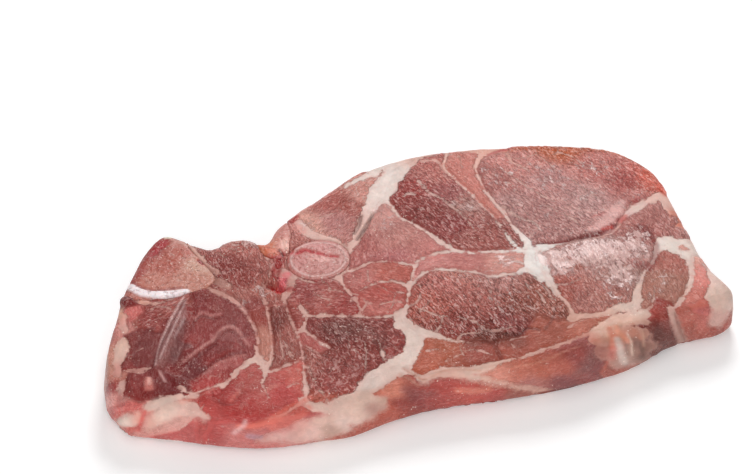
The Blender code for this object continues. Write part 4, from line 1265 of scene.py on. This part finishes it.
FLESH_FINISH = {
    "Coat Roughness": 0.16,
    "IOR": 1.35,
    "Specular Tint": (1.0, 0.72, 0.66, 1.0),
    "Subsurface Weight": 0.12,
    "Subsurface Radius": (1.0, 0.32, 0.22),
    "Subsurface Scale": 0.001,
}
BONE_FINISH = {
    "Subsurface Weight": 0.15,
    "Subsurface Radius": (1.0, 0.4, 0.3),
    "Subsurface Scale": 0.0012,
}
# How strongly each effect is mixed over what lies under it.
GLINT_STREAK_SHARE = 0.62
THREAD_SHARE = 0.7
FLECK_SHARE = 0.6
LONE_BLUSH = 0.5
SHEEN_FILM_SHARE = 0.66
SHEEN_FILM_COAT = 0.2
STRUT_SHARE = 0.4
PORE_SHARE = 0.35
SAW_DUST_AND_GLINT_SHARE = 0.7
RIM_SHARE = 0.5
PORE_COLOUR = (0.28, 0.07, 0.06, 1)
SAW_DUST_AND_GLINT_COLOUR = (0.85, 0.7, 0.6, 1)
RIM_COLOUR = (0.74, 0.5, 0.46, 1)


def put(tree, kind, inputs=None, **settings):
    """A shader node with its settings, and its inputs set or linked."""
    node = tree.nodes.new(kind)
    for name, value in settings.items():
        setattr(node, name, value)
    fill(tree, node, inputs or {})
    return node


def fill(tree, node, inputs):
    """Links each input that is given a socket, and sets each that is given a value."""
    for name, value in inputs.items():
        if isinstance(value, bpy.types.NodeSocket):
            tree.links.new(value, node.inputs[name])
        else:
            node.inputs[name].default_value = value


def maths(tree, operation, a, b=0.0, c=0.0, clamp=False):
    return put(tree, "ShaderNodeMath", {0: a, 1: b, 2: c}, operation=operation, use_clamp=clamp).outputs[0]


def times(tree, a, b, clamp=False):
    return maths(tree, "MULTIPLY", a, b, clamp=clamp)


def plus(tree, a, b):
    return maths(tree, "ADD", a, b)


def minus(tree, a, b):
    return maths(tree, "SUBTRACT", a, b)


def times_plus(tree, a, b, c):
    return maths(tree, "MULTIPLY_ADD", a, b, c)


def greater(tree, a, b):
    return maths(tree, "MAXIMUM", a, b)


def scaled(tree, vector, scale):
    """A place or a colour times a number."""
    return put(tree, "ShaderNodeVectorMath", {0: vector, "Scale": scale}, operation="SCALE").outputs[0]


def ramp(tree, value, low, high, start=0.0, end=1.0):
    """A smooth step from start to end as the value goes from low to high."""
    inputs = {"Value": value, "From Min": low, "From Max": high, "To Min": start, "To Max": end}
    return put(tree, "ShaderNodeMapRange", inputs, interpolation_type="SMOOTHSTEP").outputs["Result"]


def blend_colour(tree, share, a, b):
    """The colour a, with a share of the colour b over it. The Mix node's colours are its inputs 6 and 7."""
    return put(tree, "ShaderNodeMix", {0: share, 6: a, 7: b}, data_type="RGBA").outputs[2]


def opaque(colour):
    """A red, green and blue colour with full alpha."""
    return tuple(colour) + (1,)


def read_layer(tree, name, output="Fac"):
    """What a layer stored on the piece's points holds."""
    return put(tree, "ShaderNodeAttribute", attribute_name=name).outputs[output]


def noise(tree, place, name):
    """One of the named noises, from 0 to 1."""
    labels = ("Scale", "Detail", "Distortion", "Roughness")
    inputs = {"Vector": place, **dict(zip(labels, NOISES[name]))}
    return put(tree, "ShaderNodeTexNoise", inputs).outputs["Fac"]


def new_material(name):
    """A material with its node tree, its shader node and its object coordinates."""
    material = bpy.data.materials.new(name)
    material.use_nodes = True
    tree = material.node_tree
    place = put(tree, "ShaderNodeTexCoord").outputs["Object"]
    return material, tree, tree.nodes["Principled BSDF"], place


def new_group(name, inputs, outputs):
    """An empty shader node group with its number outputs, and its inner input and output nodes."""
    group = bpy.data.node_groups.new(name, "ShaderNodeTree")
    for label, kind in inputs.items():
        group.interface.new_socket(label, in_out="INPUT", socket_type="NodeSocket" + kind)
    for label in outputs:
        group.interface.new_socket(label, in_out="OUTPUT", socket_type="NodeSocketFloat")
    return group, group.nodes.new("NodeGroupInput").outputs, group.nodes.new("NodeGroupOutput")


def grain_group():
    """Short bundles along the grain, the gaps between them, and a finer grit."""
    found = bpy.data.node_groups.get("muscle_grain")
    if found:
        return found
    group, given, made = new_group(
        "muscle_grain", {"Place": "Vector", "Size": "Float"}, ("Wave", "Bundle", "Gap", "Grit")
    )
    place = scaled(group, given["Place"], given["Size"])
    drawn_out = put(group, "ShaderNodeVectorMath", {0: place, 1: (0.5, 1.35, 1.0)}, operation="MULTIPLY")
    wave = noise(group, drawn_out.outputs[0], "grain_waves")
    results = {
        "Wave": wave,
        "Bundle": ramp(group, wave, 0.51, 0.63),
        "Gap": ramp(group, wave, 0.49, 0.37),
        "Grit": noise(group, place, "grain_grit"),
    }
    fill(group, made, results)
    return group


def ragged_group():
    """A crisp, slightly ragged edge from a distance and a thread amount."""
    found = bpy.data.node_groups.get("ragged_fat")
    if found:
        return found
    group, given, made = new_group(
        "ragged_fat",
        {"Place": "Vector", "Distance": "Float", "Threads": "Float", "Crisp": "Float"},
        ("Fat", "Edge", "Strand"),
    )
    fine = minus(group, noise(group, given["Place"], "seam_fine"), 0.5)
    broad = minus(group, noise(group, given["Place"], "seam_broad"), 0.5)
    wander = plus(group, times(group, fine, 1.4), times(group, broad, 3.2))
    distance = plus(group, given["Distance"], wander)
    seam = ramp(group, times(group, distance, given["Crisp"]), 0.35, -0.45)
    uneven = plus(group, times(group, fine, 1.6), times(group, broad, 1.8))
    strand = ramp(group, plus(group, given["Threads"], uneven), 0.45, 0.95)
    results = {
        "Fat": greater(group, seam, times(group, strand, THREAD_SHARE)),
        "Edge": ramp(group, distance, -2.2, -0.1),
        "Strand": strand,
    }
    fill(group, made, results)
    return group


def lean_tone(tree, sizes, grain, coarse, even, patches):
    """The lean: painted shade darkens the gaps of the grain, and painted glints make it paler and streaked
    along its bundles.
    """
    # Painted glints brighten the grain's bundles, and painted shade darkens the gaps between them.
    painted_glints = times(tree, grain["Bundle"], times_plus(tree, coarse, 0.75, 0.05))
    painted_glints = times(tree, painted_glints, ramp(tree, patches, 0.32, 0.62, 0.4, 1.0))
    painted_gap_shade = times(tree, grain["Gap"], times_plus(tree, coarse, 0.38, 0.05))
    grit = times(tree, minus(tree, grain["Grit"], 0.5), even)
    shade = times_plus(tree, grit, 0.5, 1.0)
    shade = minus(tree, shade, times(tree, painted_gap_shade, even))
    shade = plus(tree, shade, times(tree, painted_glints, 0.4))
    shade = times(tree, shade, ramp(tree, patches, 0.25, 0.75, 0.9, 1.1))
    lean = scaled(tree, read_layer(tree, "lean", "Color"), shade)
    return blend_colour(tree, times(tree, painted_glints, GLINT_STREAK_SHARE), lean, opaque(sizes.glint_streak_colour))


def fat_share(tree, place, fat):
    """Where fat covers the lean: the seams and threads, and fine flecks of marbling between them."""
    off_line = maths(tree, "ABSOLUTE", minus(tree, noise(tree, place, "fleck_lines"), 0.5))
    lines = ramp(tree, off_line, 0.022, 0.004)
    areas = ramp(tree, noise(tree, place, "fleck_areas"), 0.44, 0.62)
    flecks = times(tree, times(tree, lines, areas), read_layer(tree, "marbling"))
    return greater(tree, fat, times(tree, flecks, FLECK_SHARE))


def fat_tone(tree, sizes, place, ragged):
    """The fat: mottled, and pinker where it is thin, near its edges and in lone threads."""
    mottle = ramp(tree, noise(tree, place, "suet_mottle"), 0.25, 0.75, 0.92, 1.07)
    clouds = ramp(tree, noise(tree, place, "suet_clouds"), 0.3, 0.7, 0.93, 1.05)
    suet = scaled(tree, read_layer(tree, "suet", "Color"), times(tree, mottle, clouds))
    blush = ramp(tree, noise(tree, place, "blush"), 0.5, 0.78, 0.0, 0.3)
    thin = ramp(tree, noise(tree, place, "thin_fat"), 0.4, 0.65, 0.1, 0.5)
    blush = greater(tree, blush, times(tree, ragged["Edge"], thin))
    lone = times(tree, ragged["Strand"], ramp(tree, read_layer(tree, "fat"), 0.2, 1.2))
    blush = greater(tree, blush, times(tree, lone, LONE_BLUSH))
    return blend_colour(tree, blush, suet, opaque(sizes.blush_colour))


def sheen_film_cover(tree, place, wave):
    """Where the painted sheen film lies: its areas, torn by noise and caught on the grain."""
    spread = times_plus(tree, read_layer(tree, "sheen_film"), 0.5, noise(tree, place, "sheen_film"))
    spread = plus(tree, spread, times(tree, minus(tree, wave, 0.5), 0.45))
    return ramp(tree, spread, 0.69, 0.83)


def crumb_and_glint_cover(tree, place):
    """Where tiny crumbs and painted glints lie: pale specks, in some areas only."""
    crumbs_and_glints = ramp(tree, noise(tree, place, "crumbs_and_glints"), 0.69, 0.74)
    return times(tree, crumbs_and_glints, ramp(tree, noise(tree, place, "glint_crumb_areas"), 0.44, 0.6, 0.0, 0.8))


def flesh_height(tree, place, grain, coarse, even, fat, sheen_film):
    """The fine relief: coarse lean is rough, and fat and the sheen film are smoother."""
    height = times(tree, grain["Wave"], times_plus(tree, coarse, 1.5, 0.3))
    height = plus(tree, height, times(tree, times(tree, grain["Grit"], even), 0.45))
    height = times(tree, height, ramp(tree, fat, 0.0, 1.0, 1.0, 0.25))
    height = plus(tree, height, times(tree, noise(tree, place, "skin"), 0.2))
    return times(tree, height, ramp(tree, sheen_film, 0.0, 1.0, 1.0, 0.5))


def flesh_material(sizes):
    """Wet lean with painted glints streaked along the grain, waxy fat over it, and a film of painted sheen and
    crumbs with painted glints over both.
    """
    material, tree, shader, place = new_material("raw_pork")
    seams = {
        "Place": place,
        "Distance": read_layer(tree, "fat"),
        "Threads": read_layer(tree, "threads"),
        "Crisp": read_layer(tree, "crisp"),
    }
    ragged = put(tree, "ShaderNodeGroup", seams, node_tree=ragged_group()).outputs
    fibres = {"Place": read_layer(tree, "fibre", "Vector"), "Size": sizes.grain_scale}
    grain = put(tree, "ShaderNodeGroup", fibres, node_tree=grain_group()).outputs
    coarse = read_layer(tree, "coarse")
    even = ramp(tree, coarse, 0.0, 0.12)
    patchy = noise(tree, place, "patches")
    fat = ragged["Fat"]
    sheen_film = sheen_film_cover(tree, place, grain["Wave"])

    lean = lean_tone(tree, sizes, grain, coarse, even, patchy)
    suet = fat_tone(tree, sizes, place, ragged)
    colour = blend_colour(tree, fat_share(tree, place, fat), lean, suet)
    # The film's pale colour is a painted sheen.
    colour = blend_colour(tree, times(tree, sheen_film, SHEEN_FILM_SHARE), colour, opaque(sizes.sheen_film_colour))
    # Pale specks: crumbs and painted glints.
    colour = blend_colour(tree, crumb_and_glint_cover(tree, place), colour, opaque(sizes.crumb_and_glint_colour))
    wetness = times(tree, read_layer(tree, "wet"), 0.14)
    rough = minus(tree, ramp(tree, fat, 0.0, 1.0, 0.3, 0.45), wetness)
    rough = maths(tree, "ADD", rough, times_plus(tree, patchy, 0.3, -0.15), clamp=True)
    height = flesh_height(tree, place, grain, coarse, even, fat, sheen_film)
    bump = put(tree, "ShaderNodeBump", {"Strength": 1.0, "Distance": sizes.grain_depth, "Height": height})
    finish = {
        "Base Color": colour,
        "Roughness": rough,
        "Coat Weight": times(tree, sheen_film, SHEEN_FILM_COAT, clamp=True),
        "Normal": bump.outputs["Normal"],
    }
    fill(tree, shader, finish | FLESH_FINISH)
    return material


def bone_material(sizes):
    """Sawn bone: pink marrow with pale struts, dark pores, a compact rim, and pale specks of saw dust and
    painted glints.
    """
    found = bpy.data.materials.get("sawn_bone")
    if found:
        return found
    material, tree, shader, place = new_material("sawn_bone")
    struts = ramp(tree, noise(tree, place, "struts"), 0.56, 0.68)
    pores = ramp(tree, noise(tree, place, "pores"), 0.42, 0.34)
    # Pale specks stand for saw dust and painted glints.
    dust_and_glints = ramp(tree, noise(tree, place, "saw_dust_and_glints"), 0.69, 0.74)
    colour = read_layer(tree, "lean", "Color")
    covers = (
        (struts, STRUT_SHARE, opaque(sizes.strut_colour)),
        (pores, PORE_SHARE, PORE_COLOUR),
        (dust_and_glints, SAW_DUST_AND_GLINT_SHARE, SAW_DUST_AND_GLINT_COLOUR),
        (read_layer(tree, "rim"), RIM_SHARE, RIM_COLOUR),
    )
    for cover, strength, tone in covers:
        colour = blend_colour(tree, times(tree, cover, strength), colour, tone)
    height = minus(tree, times(tree, struts, 0.5), pores)
    height = plus(tree, height, noise(tree, place, "saw_marks"))
    bump = put(tree, "ShaderNodeBump", {"Strength": 0.7, "Distance": sizes.bone_grain, "Height": height})
    finish = {
        "Base Color": colour,
        "Normal": bump.outputs["Normal"],
        "Roughness": ramp(tree, struts, 0.0, 1.0, 0.42, 0.55),
    }
    fill(tree, shader, finish | BONE_FINISH)
    return material


WHITE = (1, 1, 1, 1)
TABLE_CLOUDS = (0.95, 0.95, 0.95, 1)
SENSOR_WIDTH = 36


def build_stage(stage):
    """The pale table, the soft lights and the camera."""
    deselect_all()
    bpy.ops.mesh.primitive_plane_add(size=stage.table_size, location=(0, 0, 0))
    table = bpy.context.object
    table.name = "table"
    bpy.ops.object.transform_apply(location=True, rotation=True, scale=True)
    material, tree, shader, place = new_material("pale_table")
    clouds = ramp(tree, noise(tree, place, "table_clouds"), 0.3, 0.7)
    finish = {
        "Base Color": blend_colour(tree, clouds, opaque(stage.table_colour), TABLE_CLOUDS),
        "Roughness": 0.8,
        "Emission Color": WHITE,
        "Emission Strength": stage.table_glow,
    }
    fill(tree, shader, finish)
    table.data.materials.append(material)

    scene = bpy.context.scene
    world = bpy.data.worlds.new("soft_room")
    world.use_nodes = True
    backdrop = world.node_tree.nodes["Background"]
    fill(world.node_tree, backdrop, {"Color": WHITE, "Strength": stage.room_light})
    scene.world = world
    scene.view_settings.view_transform = "Standard"
    lamps = (
        ("back_softbox", (0.30, 0.68, 0.64), 0.32, stage.back_light),
        ("top_softbox", (-0.25, 0.0, 1.25), 0.9, stage.top_light),
        ("front_softbox", (-0.25, -1.0, 0.5), 0.8, stage.front_light),
    )
    for name, place, size, power in lamps:
        lamp = bpy.data.lights.new(name, "AREA")
        lamp.size = size
        lamp.energy = power
        light = bpy.data.objects.new(name, lamp)
        light.location = place
        light.rotation_euler = (-Vector(place)).to_track_quat("-Z", "Y").to_euler()
        scene.collection.objects.link(light)

    lens = bpy.data.cameras.new("camera")
    lens.lens = stage.lens
    lens.sensor_width = SENSOR_WIDTH
    camera = bpy.data.objects.new("camera", lens)
    scene.collection.objects.link(camera)
    turn, rise = stage.camera_turn, stage.camera_rise
    back = Vector((math.sin(turn) * math.cos(rise), -math.cos(turn) * math.cos(rise), math.sin(rise)))
    target = Vector((stage.target_x, stage.target_y, 0))
    camera.location = target + back * stage.camera_distance
    camera.rotation_euler = back.to_track_quat("Z", "Y").to_euler()
    scene.camera = camera


def length_setting(name, description, default):
    return bpy.props.FloatProperty(name=name, description=description, default=default, unit="LENGTH")


def plain_setting(name, description, default):
    return bpy.props.FloatProperty(name=name, description=description, default=default)


def angle_setting(name, description, degrees):
    return bpy.props.FloatProperty(
        name=name, description=description, default=math.radians(degrees), subtype="ANGLE"
    )


def colour_setting(name, description, default):
    return bpy.props.FloatVectorProperty(
        name=name, description=description, default=default, subtype="COLOR"
    )


class ChopSettings(bpy.types.PropertyGroup):
    """Sizes and colours of the chop's own surfaces."""

    flesh_cell: length_setting("Flesh cell", "Cell of the flesh's fine mesh", 0.00059)
    bone_cell: length_setting("Bone cell", "Cell of the bones' fine mesh", 0.00038)
    bone_fit: length_setting("Bone fit", "How far a bone's side presses into the flesh", 0.0004)
    grain_scale: plain_setting("Grain scale", "How fine the muscle grain is", 1.0)
    grain_depth: length_setting("Grain depth", "Depth of the finest grain", 0.0007)
    bone_grain: length_setting("Bone grain", "Depth of the sawn bone's pores", 0.0003)
    # Painted glints: the pale colour of the streaks along the grain.
    glint_streak_colour: colour_setting("Streaks", "Pale streaks along the grain", (0.84, 0.655, 0.61))
    # The film colour is a painted sheen over the lean.
    sheen_film_colour: colour_setting("Film", "Pale film smeared over the lean", (0.66, 0.44, 0.41))
    blush_colour: colour_setting("Blush", "Pink that shows through the fat", (0.66, 0.36, 0.31))
    # Pale specks that stand for crumbs and painted glints.
    crumb_and_glint_colour: colour_setting("Crumbs", "Tiny crumbs of fat and bone", (0.86, 0.66, 0.58))
    strut_colour: colour_setting("Struts", "Pale struts in the sawn bone", (0.72, 0.5, 0.45))


class StageSettings(bpy.types.PropertyGroup):
    """The table, lights and camera."""

    table_size: length_setting("Table", "Side of the table", 6.0)
    table_colour: colour_setting("Table colour", "Pale table top", (0.97, 0.97, 0.97))
    table_glow: plain_setting("Table glow", "Light the table gives off", 0.14)
    room_light: plain_setting("Room light", "Even light all round", 0.26)
    back_light: plain_setting("Back light", "Power of the back softbox", 5.6)
    top_light: plain_setting("Top light", "Power of the top softbox", 3.4)
    front_light: plain_setting("Front light", "Power of the front softbox", 6.8)
    lens: plain_setting("Lens", "Focal length in millimetres", 90.0)
    camera_turn: angle_setting("Turn", "Camera's turn round the chop", -17)
    camera_rise: angle_setting("Rise", "Camera's height angle", 40)
    camera_distance: length_setting("Distance", "Camera to its target", 0.70)
    target_x: length_setting("Target x", "Where it looks", 0.0035)
    target_y: length_setting("Target y", "Where it looks", 0.03715)


class PORK_OT_stage(bpy.types.Operator):
    """Set out the table, lights and camera"""

    bl_idname = "pork.stage"
    bl_label = "Stage"

    def execute(self, context):
        build_stage(context.scene.pork_stage)
        return {"FINISHED"}


class PORK_OT_flesh(bpy.types.Operator):
    """Build the marbled flesh"""

    bl_idname = "pork.flesh"
    bl_label = "Flesh"

    def execute(self, context):
        build_flesh(context.scene.pork_chop)
        return {"FINISHED"}


class PORK_OT_bones(bpy.types.Operator):
    """Build the sawn bones"""

    bl_idname = "pork.bones"
    bl_label = "Bones"

    def execute(self, context):
        for node in BONE_TINTS:
            build_bone(node, context.scene.pork_chop)
        return {"FINISHED"}


OPERATORS = (PORK_OT_stage, PORK_OT_flesh, PORK_OT_bones)


class PORK_PT_panel(bpy.types.Panel):
    """The chop's sizes and the buttons that build it"""

    bl_label = "Pork chop"
    bl_space_type = "VIEW_3D"
    bl_region_type = "UI"
    bl_category = "Pork chop"

    def draw(self, context):
        for settings in (context.scene.pork_chop, context.scene.pork_stage):
            for name in settings.__annotations__:
                self.layout.prop(settings, name)
        for operator in OPERATORS:
            self.layout.operator(operator.bl_idname)


CLASSES = (ChopSettings, StageSettings, *OPERATORS, PORK_PT_panel)


def register():
    for cls in CLASSES:
        bpy.utils.register_class(cls)
    bpy.types.Scene.pork_chop = bpy.props.PointerProperty(type=ChopSettings)
    bpy.types.Scene.pork_stage = bpy.props.PointerProperty(type=StageSettings)


def unregister():
    del bpy.types.Scene.pork_stage
    del bpy.types.Scene.pork_chop
    for cls in reversed(CLASSES):
        bpy.utils.unregister_class(cls)


def main():
    register()
    for operator in OPERATORS:
        getattr(bpy.ops.pork, operator.bl_idname.split(".")[1])()


if __name__ == "__main__":
    main()
